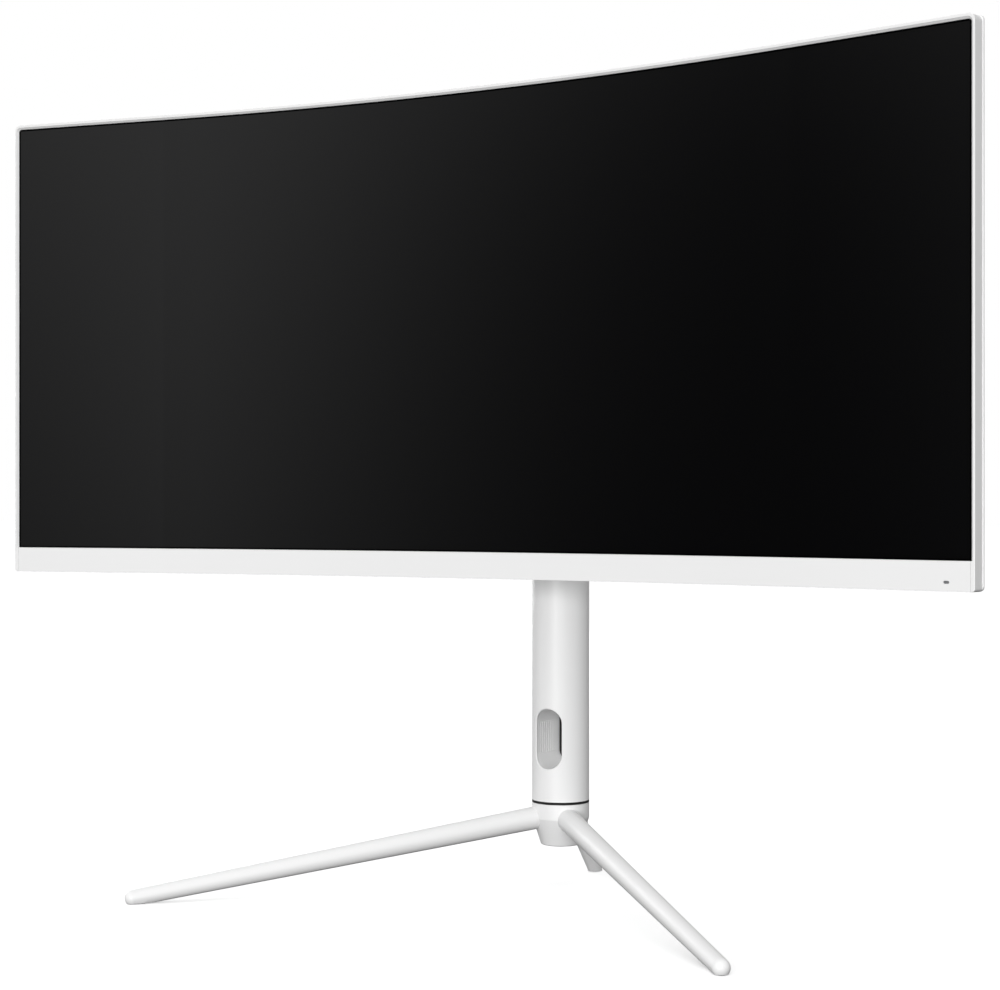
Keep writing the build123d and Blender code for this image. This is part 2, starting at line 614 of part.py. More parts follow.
CAP_THICK = 4.0
CAP_ROUND = 2.5
with BuildPart() as column_cap:
    column_disc(COLUMN_TOP, COLUMN_TOP + CAP_THICK, COLUMN_RADIUS)
    fillet(column_cap.edges().sort_by(Axis.Z)[-1], CAP_ROUND)
    column_disc(COLUMN_TOP - 1, COLUMN_TOP, COLUMN_BORE)
column_cap.part.label = "column_cap"
export_step(column_cap.part, "parts/column_cap.step")


# ---- Carriage and tilt hinge ------------------------------------------------------------------

CARRIAGE_BOTTOM = MOUNT_HEIGHT - 22.0
CARRIAGE_TOP = MOUNT_HEIGHT + 22.0
CARRIAGE_RADIUS = COLUMN_BORE - 0.6
CARRIAGE_FRONT = COLUMN_Y - 14.0
CARRIAGE_BACK = COLUMN_Y + 9.0
ROD_CLEARANCE = 0.6
YOKE_SCREW_RADIUS = 2.5
YOKE_SCREW_HEAD = (4.2, 2.6)
YOKE_SCREW_HEX = 2.2
YOKE_SCREW_REACH = 18.0
BUSH_OUTSIDE = 3.8
BUSH_LENGTH = 8.0
NECK_HALF_WIDTH = 5.5
YOKE_BACK = 52.0
YOKE_FRONT = 46.0
EAR_FACE = 10.5
YOKE_EAR = 5.0
EAR_ROUND = 10.0
YOKE_HALF_HEIGHT = 18.0
BARREL_RADIUS = 9.0
BARREL_HALF = 9.5
YOKE_SCREW_Z = (MOUNT_HEIGHT - 7.0, MOUNT_HEIGHT + 7.0)
SHROUD_HALF_WIDTH = 26.0
SHROUD_HALF_HEIGHT = 27.0
SHROUD_FRONT = 21.0
SHROUD_BACK = 55.0
SHROUD_WALL = 2.0
SHROUD_CORNER = 8.0
SHROUD_ROUND = 3.0

with BuildPart() as carriage:
    column_disc(CARRIAGE_BOTTOM, CARRIAGE_TOP, CARRIAGE_RADIUS)
    for flat_y in ((CARRIAGE_BACK, CARRIAGE_BACK + CUT), (CARRIAGE_FRONT - CUT, CARRIAGE_FRONT)):
        block((-CUT, CUT), flat_y, (CARRIAGE_BOTTOM, CARRIAGE_TOP), Mode.SUBTRACT)
    neck_z = (MOUNT_HEIGHT - NECK_HALF_HEIGHT, MOUNT_HEIGHT + NECK_HALF_HEIGHT)
    block((-NECK_HALF_WIDTH, NECK_HALF_WIDTH), (YOKE_BACK, CARRIAGE_FRONT + 1), neck_z)
    lug_z = (MOUNT_HEIGHT, CARRIAGE_TOP - 4)
    block((-STRIP_WIDTH / 2, STRIP_WIDTH / 2), (CARRIAGE_BACK - 1, STRIP_Y - PRESS_GAP), lug_z)
    with BuildSketch(Plane.XY.offset(CARRIAGE_BOTTOM)) as rod_bores:
        with Locations(*rod_places):
            Circle(ROD_RADIUS + ROD_CLEARANCE)
    extrude(rod_bores.sketch, amount=CARRIAGE_TOP - CARRIAGE_BOTTOM, mode=Mode.SUBTRACT)
    for bottom in (CARRIAGE_BOTTOM, CARRIAGE_TOP - BUSH_LENGTH):
        with BuildSketch(Plane.XY.offset(bottom)) as bush_seats:
            with Locations(*rod_places):
                Circle(BUSH_OUTSIDE)
        extrude(bush_seats.sketch, amount=BUSH_LENGTH, mode=Mode.SUBTRACT)
    with BuildSketch(Plane.XZ.offset(-YOKE_BACK)) as screw_holes:
        with Locations(*[(0, z) for z in YOKE_SCREW_Z]):
            Circle(YOKE_SCREW_RADIUS)
    screw_end = YOKE_SCREW_REACH - YOKE_BACK + YOKE_FRONT
    extrude(screw_holes.sketch, amount=-screw_end - 1, mode=Mode.SUBTRACT)
carriage.part.label = "carriage"
export_step(carriage.part, "parts/carriage.step")

with BuildPart() as carriage_bushes:
    for bottom in (CARRIAGE_BOTTOM, CARRIAGE_TOP - BUSH_LENGTH):
        with BuildSketch(Plane.XY.offset(bottom)) as bush_plan:
            with Locations(*rod_places):
                Circle(BUSH_OUTSIDE)
                Circle(ROD_RADIUS + RUNNING, mode=Mode.SUBTRACT)
        extrude(bush_plan.sketch, amount=BUSH_LENGTH)
carriage_bushes.part.label = "carriage_bushes"
export_step(carriage_bushes.part, "parts/carriage_bushes.step")

with BuildPart() as tilt_yoke:
    outside = EAR_FACE + YOKE_EAR
    yoke_z = (MOUNT_HEIGHT - YOKE_HALF_HEIGHT, MOUNT_HEIGHT + YOKE_HALF_HEIGHT)
    block((-outside, outside), (YOKE_FRONT, YOKE_BACK), yoke_z)
    for side in (-1, 1):
        inside, outer = sorted((side * EAR_FACE, side * outside))
        with BuildSketch(Plane.YZ.offset(inside)) as ear:
            with Locations((HINGE_Y, MOUNT_HEIGHT)):
                Circle(EAR_ROUND)
            with Locations(((HINGE_Y + YOKE_FRONT) / 2, MOUNT_HEIGHT)):
                Rectangle(YOKE_FRONT - HINGE_Y, 2 * EAR_ROUND)
        extrude(ear.sketch, amount=outer - inside)
    cross_bar(HINGE_Y, MOUNT_HEIGHT, AXLE_RADIUS, -outside, outside, Mode.SUBTRACT)
    with BuildSketch(Plane.XZ.offset(-YOKE_BACK)) as yoke_holes:
        with Locations(*[(0, z) for z in YOKE_SCREW_Z]):
            Circle(YOKE_SCREW_RADIUS)
    extrude(yoke_holes.sketch, amount=YOKE_BACK - YOKE_FRONT, mode=Mode.SUBTRACT)
tilt_yoke.part.label = "tilt_yoke"
export_step(tilt_yoke.part, "parts/tilt_yoke.step")

with BuildPart() as yoke_screws:
    for z in YOKE_SCREW_Z:
        with BuildSketch(Plane.XZ.offset(-YOKE_FRONT)) as head:
            with Locations((0, z)):
                Circle(YOKE_SCREW_HEAD[0])
                RegularPolygon(YOKE_SCREW_HEX, 6, mode=Mode.SUBTRACT)
        extrude(head.sketch, amount=YOKE_SCREW_HEAD[1])
        with BuildSketch(Plane.XZ.offset(-YOKE_FRONT)) as shank:
            with Locations((0, z)):
                Circle(YOKE_SCREW_RADIUS)
        extrude(shank.sketch, amount=-YOKE_SCREW_REACH)
yoke_screws.part.label = "yoke_screws"
export_step(yoke_screws.part, "parts/yoke_screws.step")

AXLE_HEAD = 3.0
AXLE_HEAD_RADIUS = 7.0
TILT_NUT_RADIUS = 7.5
NUT_HEIGHT = 5.0
SPRING_THICK = 1.4
SPRING_RADIUS = 8.0
yoke_side = EAR_FACE + YOKE_EAR
with BuildPart() as tilt_axle:
    axle_end = yoke_side + SPRING_THICK + NUT_HEIGHT + 1
    cross_bar(HINGE_Y, MOUNT_HEIGHT, AXLE_RADIUS, -yoke_side, axle_end)
    cross_bar(HINGE_Y, MOUNT_HEIGHT, AXLE_HEAD_RADIUS, -yoke_side - AXLE_HEAD, -yoke_side)
tilt_axle.part.label = "tilt_axle"
export_step(tilt_axle.part, "parts/tilt_axle.step")

# Two friction washers beside the barrel and a disc spring under the nut
WASHER_THICK = 0.8
with BuildPart() as tilt_washers:
    for side in (-1, 1):
        near, far = sorted((side * EAR_FACE, side * (EAR_FACE - WASHER_THICK)))
        cross_bar(HINGE_Y, MOUNT_HEIGHT, BARREL_RADIUS, near, far)
    cross_bar(HINGE_Y, MOUNT_HEIGHT, SPRING_RADIUS, yoke_side, yoke_side + SPRING_THICK)
    cross_bar(HINGE_Y, MOUNT_HEIGHT, AXLE_RADIUS, -CUT, CUT, Mode.SUBTRACT)
tilt_washers.part.label = "tilt_washers"
export_step(tilt_washers.part, "parts/tilt_washers.step")

with BuildPart() as tilt_nut:
    with BuildSketch(Plane.YZ.offset(yoke_side + SPRING_THICK)) as nut_face:
        with Locations((HINGE_Y, MOUNT_HEIGHT)):
            RegularPolygon(TILT_NUT_RADIUS, 6)
            Circle(AXLE_RADIUS, mode=Mode.SUBTRACT)
    extrude(nut_face.sketch, amount=NUT_HEIGHT)
tilt_nut.part.label = "tilt_nut"
export_step(tilt_nut.part, "parts/tilt_nut.step")

with BuildPart() as hinge_shroud:
    shroud_z = (MOUNT_HEIGHT - SHROUD_HALF_HEIGHT, MOUNT_HEIGHT + SHROUD_HALF_HEIGHT)
    block((-SHROUD_HALF_WIDTH, SHROUD_HALF_WIDTH), (SHROUD_FRONT, SHROUD_BACK), shroud_z)
    fillet(hinge_shroud.edges().filter_by(Axis.Y), SHROUD_CORNER)
    fillet(hinge_shroud.faces().sort_by(Axis.Y)[-1].edges(), SHROUD_ROUND)
    hollow_width = 2 * (SHROUD_HALF_WIDTH - SHROUD_WALL)
    hollow_height = 2 * (SHROUD_HALF_HEIGHT - SHROUD_WALL)
    with BuildSketch(Plane.XZ.offset(-SHROUD_FRONT)) as hollow:
        with Locations((0, MOUNT_HEIGHT)):
            RectangleRounded(hollow_width, hollow_height, SHROUD_CORNER - SHROUD_WALL)
    extrude(hollow.sketch, amount=-(SHROUD_BACK - SHROUD_WALL - SHROUD_FRONT), mode=Mode.SUBTRACT)
    with BuildSketch(Plane.XZ.offset(-SHROUD_BACK)) as neck_window:
        with Locations((0, MOUNT_HEIGHT)):
            Rectangle(2 * NECK_HALF_WIDTH + 1, 2 * NECK_HALF_HEIGHT + 1)
    extrude(neck_window.sketch, amount=2 * SHROUD_WALL, mode=Mode.SUBTRACT)
hinge_shroud.part.label = "hinge_shroud"
export_step(hinge_shroud.part, "parts/hinge_shroud.step")


# ---- Display: mount plate and its latch -------------------------------------------------------

PLATE_FRONT = BACK_Y - 7.7
PLATE_BACK = BACK_Y + 2.0
PLATE_HALF_WIDTH = 40.0
PLATE_HALF_HEIGHT = 44.0
PLATE_CORNER = 6.0
PLATE_CHAMFER = 0.8
KNUCKLE_FLANGE = 44.0
KNUCKLE_CORNER = 5.0
KNUCKLE_SCREW_RADIUS = 2.0
KNUCKLE_SCREW_HEAD = (3.6, 2.4)
KNUCKLE_SCREW_HEX = 1.8
KNUCKLE_BACK = PLATE_BACK + 4.0
KNUCKLE_SCREWS = 15.0
NOTCH_HALF_WIDTH = 9.0
NOTCH_HEIGHT = 4.5

with BuildPart() as release_plate:
    with BuildSketch(Plane.XZ.offset(-PLATE_FRONT)) as plate_outline:
        with Locations((0, MOUNT_HEIGHT)):
            RectangleRounded(2 * PLATE_HALF_WIDTH, 2 * PLATE_HALF_HEIGHT, PLATE_CORNER)
        with Locations((0, MOUNT_HEIGHT - PLATE_HALF_HEIGHT + NOTCH_HEIGHT / 2)):
            Rectangle(2 * NOTCH_HALF_WIDTH, NOTCH_HEIGHT, mode=Mode.SUBTRACT)
        with Locations((0, MOUNT_HEIGHT)):
            with GridLocations(2 * KNUCKLE_SCREWS, 2 * KNUCKLE_SCREWS, 2, 2):
                Circle(KNUCKLE_SCREW_RADIUS, mode=Mode.SUBTRACT)
    extrude(plate_outline.sketch, amount=-(PLATE_BACK - PLATE_FRONT))
    chamfer(release_plate.faces().sort_by(Axis.Y)[-1].outer_wire().edges(), PLATE_CHAMFER)
release_plate.part.label = "release_plate"
export_step(release_plate.part, "parts/release_plate.step")

with BuildPart() as tilt_knuckle:
    with BuildSketch(Plane.XZ.offset(-PLATE_BACK)) as flange:
        with Locations((0, MOUNT_HEIGHT)):
            RectangleRounded(KNUCKLE_FLANGE, KNUCKLE_FLANGE, KNUCKLE_CORNER)
            with GridLocations(2 * KNUCKLE_SCREWS, 2 * KNUCKLE_SCREWS, 2, 2):
                Circle(KNUCKLE_SCREW_RADIUS, mode=Mode.SUBTRACT)
    extrude(flange.sketch, amount=-(KNUCKLE_BACK - PLATE_BACK))
    arm_z = (MOUNT_HEIGHT - BARREL_RADIUS, MOUNT_HEIGHT + BARREL_RADIUS)
    block((-BARREL_HALF, BARREL_HALF), (KNUCKLE_BACK - 1, HINGE_Y), arm_z)
    cross_bar(HINGE_Y, MOUNT_HEIGHT, BARREL_RADIUS, -BARREL_HALF, BARREL_HALF)
    cross_bar(HINGE_Y, MOUNT_HEIGHT, AXLE_RADIUS + RUNNING, -CUT, CUT, Mode.SUBTRACT)
tilt_knuckle.part.label = "tilt_knuckle"
export_step(tilt_knuckle.part, "parts/tilt_knuckle.step")

with BuildPart() as knuckle_screws:
    with BuildSketch(Plane.XZ.offset(-KNUCKLE_BACK)) as heads:
        with Locations((0, MOUNT_HEIGHT)):
            with GridLocations(2 * KNUCKLE_SCREWS, 2 * KNUCKLE_SCREWS, 2, 2):
                Circle(KNUCKLE_SCREW_HEAD[0])
                RegularPolygon(KNUCKLE_SCREW_HEX, 6, mode=Mode.SUBTRACT)
    extrude(heads.sketch, amount=-KNUCKLE_SCREW_HEAD[1])
    with BuildSketch(Plane.XZ.offset(-KNUCKLE_BACK)) as shanks:
        with Locations((0, MOUNT_HEIGHT)):
            with GridLocations(2 * KNUCKLE_SCREWS, 2 * KNUCKLE_SCREWS, 2, 2):
                Circle(KNUCKLE_SCREW_RADIUS)
    extrude(shanks.sketch, amount=KNUCKLE_BACK - PLATE_FRONT - 1)
knuckle_screws.part.label = "knuckle_screws"
export_step(knuckle_screws.part, "parts/knuckle_screws.step")

# A button under the plate; slid down, its tongue leaves the plate's notch
LATCH_TRAVEL = 4.0
LATCH_HALF_WIDTH = 14.5
LATCH_HEIGHT = 12.0
LATCH_FRONT = PLATE_FRONT + 0.2
LATCH_BACK = BACK_Y + 0.8
LATCH_ROUND = 2.0
TONGUE_HALF_WIDTH = 8.0
TONGUE_THICK = 3.5
RIB_COUNT = 3
RIB_PITCH = 3.0
RIB_HALF_WIDTH = 9.0
RIB_HALF_HEIGHT = 0.6
RIB_PROUD = 0.9
latch_top = MOUNT_HEIGHT - PLATE_HALF_HEIGHT - 1.0
with BuildPart() as release_latch:
    latch_z = (latch_top - LATCH_HEIGHT, latch_top)
    block((-LATCH_HALF_WIDTH, LATCH_HALF_WIDTH), (LATCH_FRONT, LATCH_BACK), latch_z)
    fillet(release_latch.edges().filter_by(Axis.Y), LATCH_ROUND)
    for step in range(RIB_COUNT):
        middle = latch_z[0] + RIB_PITCH * (step + 1)
        rib_z = (middle - RIB_HALF_HEIGHT, middle + RIB_HALF_HEIGHT)
        block((-RIB_HALF_WIDTH, RIB_HALF_WIDTH), (LATCH_BACK - GAP, LATCH_BACK + RIB_PROUD), rib_z)
    tongue_y = (LATCH_FRONT, LATCH_FRONT + TONGUE_THICK)
    tongue_z = (latch_top - 1, latch_top + NOTCH_HEIGHT - 1)
    block((-TONGUE_HALF_WIDTH, TONGUE_HALF_WIDTH), tongue_y, tongue_z)
release_latch.part.label = "release_latch"
export_step(release_latch.part, "parts/release_latch.step")

# Steel bracket behind the cover that carries the plate and the four threaded wall-mount inserts
VESA_PITCH = 100.0
RECESS_FLOOR = BACK_Y - 8.0
BRACKET_BACK = RECESS_FLOOR - COVER_WALL
BRACKET_THICK = 1.6
BRACKET_MARGIN = 8.0
BRACKET_CORNER = 6.0
BRACKET_POST = 4.0
POST_X = 58.0
POST_Z = 44.0
CHASSIS_BACK = 7.1
with BuildPart() as vesa_bracket:
    with BuildSketch(Plane.XZ.offset(-BRACKET_BACK)) as bracket_outline:
        with Locations((0, MOUNT_HEIGHT)):
            bracket_width, bracket_height = 2 * (POST_X + BRACKET_CORNER), VESA_PITCH + 2 * BRACKET_MARGIN
            RectangleRounded(bracket_width, bracket_height, BRACKET_CORNER)
    extrude(bracket_outline.sketch, amount=BRACKET_THICK)
    with BuildSketch(Plane.XZ.offset(-BRACKET_BACK + BRACKET_THICK)) as posts:
        with Locations((0, MOUNT_HEIGHT)):
            with GridLocations(2 * POST_X, 2 * POST_Z, 2, 2):
                Circle(BRACKET_POST)
    extrude(posts.sketch, amount=CUT)
    curved_layer(-CUT / 2, CHASSIS_BACK + GAP, 0, FRAME_BOTTOM, FRAME_TOP, Mode.SUBTRACT)
vesa_bracket.part.label = "vesa_bracket"
export_step(vesa_bracket.part, "parts/vesa_bracket.step")

INSERT_RADIUS = 4.0
INSERT_THREAD = 2.0
with BuildPart() as vesa_inserts:
    with BuildSketch(Plane.XZ.offset(-BACK_Y)) as insert_rings:
        with Locations((0, MOUNT_HEIGHT)):
            with GridLocations(VESA_PITCH, VESA_PITCH, 2, 2):
                Circle(INSERT_RADIUS)
                Circle(INSERT_THREAD, mode=Mode.SUBTRACT)
    extrude(insert_rings.sketch, amount=BACK_Y - BRACKET_BACK)
vesa_inserts.part.label = "vesa_inserts"
export_step(vesa_inserts.part, "parts/vesa_inserts.step")


# ---- Display: screen layers, frame and chin ---------------------------------------------------

LAYER_SIDE = POCKET_SIDE - 0.3
LAYER_BOTTOM = POCKET_BOTTOM + 0.2
LAYER_TOP = POCKET_TOP - 0.3
PANEL_BACK = 1.8
SHEETS = (1.9, 2.7)
GUIDE = (2.8, 5.3)
REFLECTOR = (5.4, 5.7)
GUIDE_BOTTOM = LAYER_BOTTOM + 5.0
CHASSIS = (5.8, CHASSIS_BACK)

with BuildPart() as lcd_panel:
    curved_layer(0.0, PANEL_BACK, LAYER_SIDE, LAYER_BOTTOM, LAYER_TOP)
lcd_panel.part.label = "lcd_panel"
export_step(lcd_panel.part, "parts/lcd_panel.step")

with BuildPart() as optical_sheets:
    curved_layer(*SHEETS, LAYER_SIDE, LAYER_BOTTOM, LAYER_TOP)
    curved_layer(*REFLECTOR, LAYER_SIDE, LAYER_BOTTOM, LAYER_TOP)
optical_sheets.part.label = "optical_sheets"
export_step(optical_sheets.part, "parts/optical_sheets.step")

with BuildPart() as light_guide:
    curved_layer(*GUIDE, LAYER_SIDE, GUIDE_BOTTOM, LAYER_TOP)
light_guide.part.label = "light_guide"
export_step(light_guide.part, "parts/light_guide.step")

with BuildPart() as led_bar:
    curved_layer(*GUIDE, LAYER_SIDE - 4, LAYER_BOTTOM, GUIDE_BOTTOM - GAP)
led_bar.part.label = "led_bar"
export_step(led_bar.part, "parts/led_bar.step")

# Frame: raised lip, side walls and the rail behind the chin, with the screen pocket inside. The
# notches for the buttons are open towards the rear cover, whose rim closes them.
RAIL_WALL = 2.0
RAIL_CAVITY_TOP = POCKET_BOTTOM - 1.5
BUTTON_DEPTH = 5.95
BUTTON_WIDTH = 9.0
BUTTON_THICK = 2.7
BUTTON_PITCH = 15.0
BUTTON_FIRST_RUN = FLAT_RUN - 22.0
BUTTON_NAMES = ("power", "menu", "down", "up")
button_runs = [BUTTON_FIRST_RUN - BUTTON_PITCH * count for count in range(len(BUTTON_NAMES))]


def button_plane(run, height):
    """A level plane over a button, with X along the screen."""
    turn = radians(HALF_ANGLE)
    x, y = curve_point(BUTTON_DEPTH, 1, run)
    return Plane(origin=(x, y, height), x_dir=(cos(turn), -sin(turn), 0), z_dir=(0, 0, 1))


# What the lip leaves open: the visible screen, flared by the lip's bevel
with BuildPart() as screen_opening:
    curved_layer(-2 * LIP_BEVEL, 0, LIP_BEVEL, SCREEN_BOTTOM, SCREEN_TOP + LIP_BEVEL)
    fillet(square_edges(screen_opening, 2 * LIP_BEVEL)[-2:], SCREEN_CORNER + LIP_BEVEL)
    chamfer(edges_at_depth(screen_opening, 0).group_by(Axis.Z)[1:], LIP_BEVEL)

with BuildPart() as bezel_frame:
    curved_layer(-LIP_PROUD, FRAME_DEPTH, BORDER, FRAME_BOTTOM, FRAME_TOP)
    fillet(square_edges(bezel_frame, FRAME_DEPTH + LIP_PROUD)[-2:], TOP_CORNER)
    fillet(square_edges(bezel_frame, FRAME_DEPTH + LIP_PROUD)[:2], BOTTOM_CORNER)
    fillet(edges_at_depth(bezel_frame, -LIP_PROUD), EDGE_ROUND)
    add(screen_opening.part, mode=Mode.SUBTRACT)
    curved_layer(-LIP_PROUD, 0, 0, FRAME_BOTTOM, SCREEN_BOTTOM, Mode.SUBTRACT)
    curved_layer(0, FRAME_DEPTH, POCKET_SIDE, POCKET_BOTTOM, POCKET_TOP, Mode.SUBTRACT)
    curved_layer(-LIP_PROUD, CHIN_DEPTH, 0, FRAME_BOTTOM, CHIN_LEDGE, Mode.SUBTRACT)
    rail = (CHIN_DEPTH + FRAME_WALL, FRAME_DEPTH)
    curved_layer(*rail, -2, FRAME_BOTTOM + RAIL_WALL, RAIL_CAVITY_TOP, Mode.SUBTRACT)
    for run in button_runs:
        with BuildSketch(button_plane(run, FRAME_BOTTOM)) as button_notch:
            with Locations((0, PRESS_GAP)):
                Rectangle(BUTTON_WIDTH + 2 * PRESS_GAP, BUTTON_THICK + 4 * PRESS_GAP)
        extrude(button_notch.sketch, amount=RAIL_WALL, mode=Mode.SUBTRACT)
bezel_frame.part.label = "bezel_frame"
export_step(bezel_frame.part, "parts/bezel_frame.step")

# Chin strip, set between the two ends of the lip
CHIN_BEVEL = 0.7
LENS_SUNK = 0.3
LENS_LENGTH = 3.6
LIGHT_RUN = FLAT_RUN - 14.6
LIGHT_HEIGHT = FRAME_BOTTOM + 5.1
LIGHT_SIZE = (3.6, 1.6)
light_plane = facing_plane(1, -LIP_PROUD, LIGHT_RUN, LIGHT_HEIGHT)
with BuildPart() as chin_trim:
    curved_layer(-LIP_PROUD, CHIN_DEPTH - GAP, -GAP, FRAME_BOTTOM, CHIN_LEDGE - GAP)
    curved_layer(-LIP_PROUD, -GAP / 2, -GAP, CHIN_LEDGE - 1, SCREEN_BOTTOM)
    front_edges = edges_at_depth(chin_trim, -LIP_PROUD)
    chamfer(front_edges.group_by(Axis.Z)[-1], CHIN_BEVEL)
    with BuildSketch(light_plane) as light_slot:
        SlotOverall(*LIGHT_SIZE)
    extrude(light_slot.sketch, amount=-CHIN_DEPTH - LIP_PROUD, mode=Mode.SUBTRACT)
chin_trim.part.label = "chin_trim"
export_step(chin_trim.part, "parts/chin_trim.step")

with BuildPart() as status_light:
    with BuildSketch(light_plane.offset(-LENS_SUNK)) as lens:
        SlotOverall(LIGHT_SIZE[0] - GAP, LIGHT_SIZE[1] - GAP)
    extrude(lens.sketch, amount=-LENS_LENGTH)
status_light.part.label = "status_light"
export_step(status_light.part, "parts/status_light.step")

# Buttons under the chin, and the board with their switches
BUTTON_PROUD = 0.2
BUTTON_BOTTOM = FRAME_BOTTOM - BUTTON_PROUD
BUTTON_FLANGE = FRAME_BOTTOM + RAIL_WALL + PRESS_GAP
BUTTON_TOP = BUTTON_FLANGE + 0.9
BUTTON_TRAVEL = 0.6
BUTTON_CORNER = 0.8
BUTTON_ROUND = 0.3
FLANGE_EXTRA = 1.4
SWITCH_BOTTOM = BUTTON_TOP + BUTTON_TRAVEL + GAP
SWITCH_SIZE = (4.0, 2.6)
SWITCH_BOARD_BOTTOM = SWITCH_BOTTOM + 2.5
SWITCH_BOARD_WIDTH = 3.0
SWITCH_BOARD_THICK = 1.2
for name, run in zip(BUTTON_NAMES, button_runs):
    with BuildPart() as button:
        with BuildSketch(button_plane(run, BUTTON_BOTTOM)) as cap:
            RectangleRounded(BUTTON_WIDTH, BUTTON_THICK, BUTTON_CORNER)
        extrude(cap.sketch, amount=BUTTON_TOP - BUTTON_BOTTOM)
        fillet(button.faces().sort_by(Axis.Z)[0].edges(), BUTTON_ROUND)
        with BuildSketch(button_plane(run, BUTTON_FLANGE)) as flange:
            Rectangle(BUTTON_WIDTH + FLANGE_EXTRA, BUTTON_THICK)
        extrude(flange.sketch, amount=BUTTON_TOP - BUTTON_FLANGE)
    button.part.label = f"button_{name}"
    export_step(button.part, f"parts/button_{name}.step")

with BuildPart() as button_board:
    middle_run = sum(button_runs) / len(button_runs)
    with BuildSketch(button_plane(middle_run, SWITCH_BOARD_BOTTOM)) as board_plan:
        Rectangle(BUTTON_PITCH * (len(BUTTON_NAMES) + 0.4), SWITCH_BOARD_WIDTH)
    extrude(board_plan.sketch, amount=SWITCH_BOARD_THICK)
    for run in button_runs:
        with BuildSketch(button_plane(run, SWITCH_BOTTOM)) as switch:
            Rectangle(*SWITCH_SIZE)
        extrude(switch.sketch, amount=SWITCH_BOARD_BOTTOM - SWITCH_BOTTOM)
button_board.part.label = "button_board"
export_step(button_board.part, "parts/button_board.step")


# ---- Display: rear cover ----------------------------------------------------------------------


def cover_form(wall):
    """The rear cover's outside (wall 0), or the hollow a wall's thickness inside it: a curved
    tray with sloping edges, and a square-backed bulge for the electronics. The hollow starts a wall's
    thickness further forward, so that it cuts through the open front."""
    side = BORDER + RIM_PROUD - wall
    slope = (COVER_DEPTH - RIM_BACK) / COVER_SLOPE
    rim_back = RIM_BACK + slope * wall - wall * hypot(1, slope)
    bottom, top = FRAME_BOTTOM + wall, FRAME_TOP - wall
    front, back = FRAME_DEPTH - wall, COVER_DEPTH - wall
    inward = (back - rim_back) / slope
    turn = radians(-HALF_ANGLE)
    start = curve_point(0, -1, FLAT_RUN + side)
    section_plane = Plane(
        origin=(*start, 0), x_dir=(sin(turn), cos(turn), 0), z_dir=(cos(turn), -sin(turn), 0)
    )
    with BuildSketch(section_plane) as section:
        with BuildLine():
            Polyline(
                (front, bottom),
                (rim_back, bottom),
                (back, bottom + inward),
                (back, top - inward),
                (rim_back, top),
                (front, top),
                close=True,
            )
        make_face()
    with BuildLine() as path:
        bend_left, middle, bend_right = (curve_point(0, s) for s in (-1, 0, 1))
        Line(start, bend_left)
        ThreePointArc(bend_left, middle, bend_right)
        Line(bend_right, curve_point(0, 1, FLAT_RUN + side))
    sweep(section.sketch, path=path.line)
    end_run = FLAT_RUN + side
    for s in (-1, 1):
        with BuildSketch(Plane.XY.offset(FRAME_BOTTOM)) as end_slope:
            with BuildLine():
                Polyline(
                    curve_point(rim_back, s, end_run),
                    curve_point(rim_back + slope * (inward + 1), s, end_run - inward - 1),
                    curve_point(rim_back + slope * (inward + 1), s, end_run + 1),
                    curve_point(rim_back, s, end_run + 1),
                    close=True,
                )
            make_face()
        extrude(end_slope.sketch, amount=FRAME_TOP - FRAME_BOTTOM, mode=Mode.SUBTRACT)
    with BuildSketch(Plane.XZ.offset(-BACK_Y + wall)) as bulge:
        with Locations((0, MOUNT_HEIGHT)):
            RectangleRounded(BULGE_WIDTH - 2 * wall, BULGE_HEIGHT - 2 * wall, BULGE_CORNER - wall)
    extrude(bulge.sketch, amount=BULGE_REACH, taper=-BULGE_TAPER)


with BuildPart() as cover_hollow:
    cover_form(COVER_WALL)

# The cover's outline seen from the back, with the rim's rounded corners
with BuildPart() as cover_outline:
    curved_layer(FRAME_DEPTH, BULGE_DEPTH + BULGE_ARC_RISE, BORDER + RIM_PROUD, FRAME_BOTTOM, FRAME_TOP)
    corners = square_edges(cover_outline, BULGE_DEPTH + BULGE_ARC_RISE - FRAME_DEPTH)
    fillet(corners, RIM_CORNER)

# Sockets face the back from a shallow pocket low on the bulge
POCKET_DEPTH = 14.0
IO_CENTRE_X = -82.0
IO_WIDTH = 118.0
IO_CENTRE_Z = 285.0
IO_HEIGHT = 24.0
IO_FLOOR = BACK_Y - POCKET_DEPTH
BOARD_FACE = IO_FLOOR - 11.4
SMALL_VIDEO_X = (-113.0, -93.0)
LARGE_VIDEO_X = (-71.5, -50.5)
SMALL_VIDEO_BODY = (15.4, 6.2)
LARGE_VIDEO_BODY = (17.4, 6.6)
DC_X = -132.0
DC_BODY = (11.0, 11.0)
AUDIO_X = -32.0
AUDIO_BODY = (8.0, 8.0)
socket_spots = [(x, SMALL_VIDEO_BODY) for x in SMALL_VIDEO_X]
socket_spots += [(x, LARGE_VIDEO_BODY) for x in LARGE_VIDEO_X]
socket_spots += [(DC_X, DC_BODY), (AUDIO_X, AUDIO_BODY)]

VENT_WIDTH = 2.4
VENT_LENGTH = 13.0
VENT_PITCH = 7.0
VENT_TOP_Z = 446.0
VENT_TOP_COUNT = 33
VENT_LOW_X = 82.0
VENT_LOW_COUNT = 14
BULGE_SCREW_X = 134.0
BULGE_SCREW_Z = (330.0, 440.0)
END_SCREW_RUN = FLAT_RUN - 46.0
END_SCREW_Z = (FRAME_BOTTOM + 48.0, FRAME_TOP - 48.0)
SCREW_SEAT = 3.4
SCREW_SHANK = 1.6
SEAT_DEPTH = 1.2
HEAD_SUNK = 0.2
CROSS_SIZE = (3.4, 0.8)
CROSS_DEPTH = 0.6
SCREW_LENGTH = 9.0


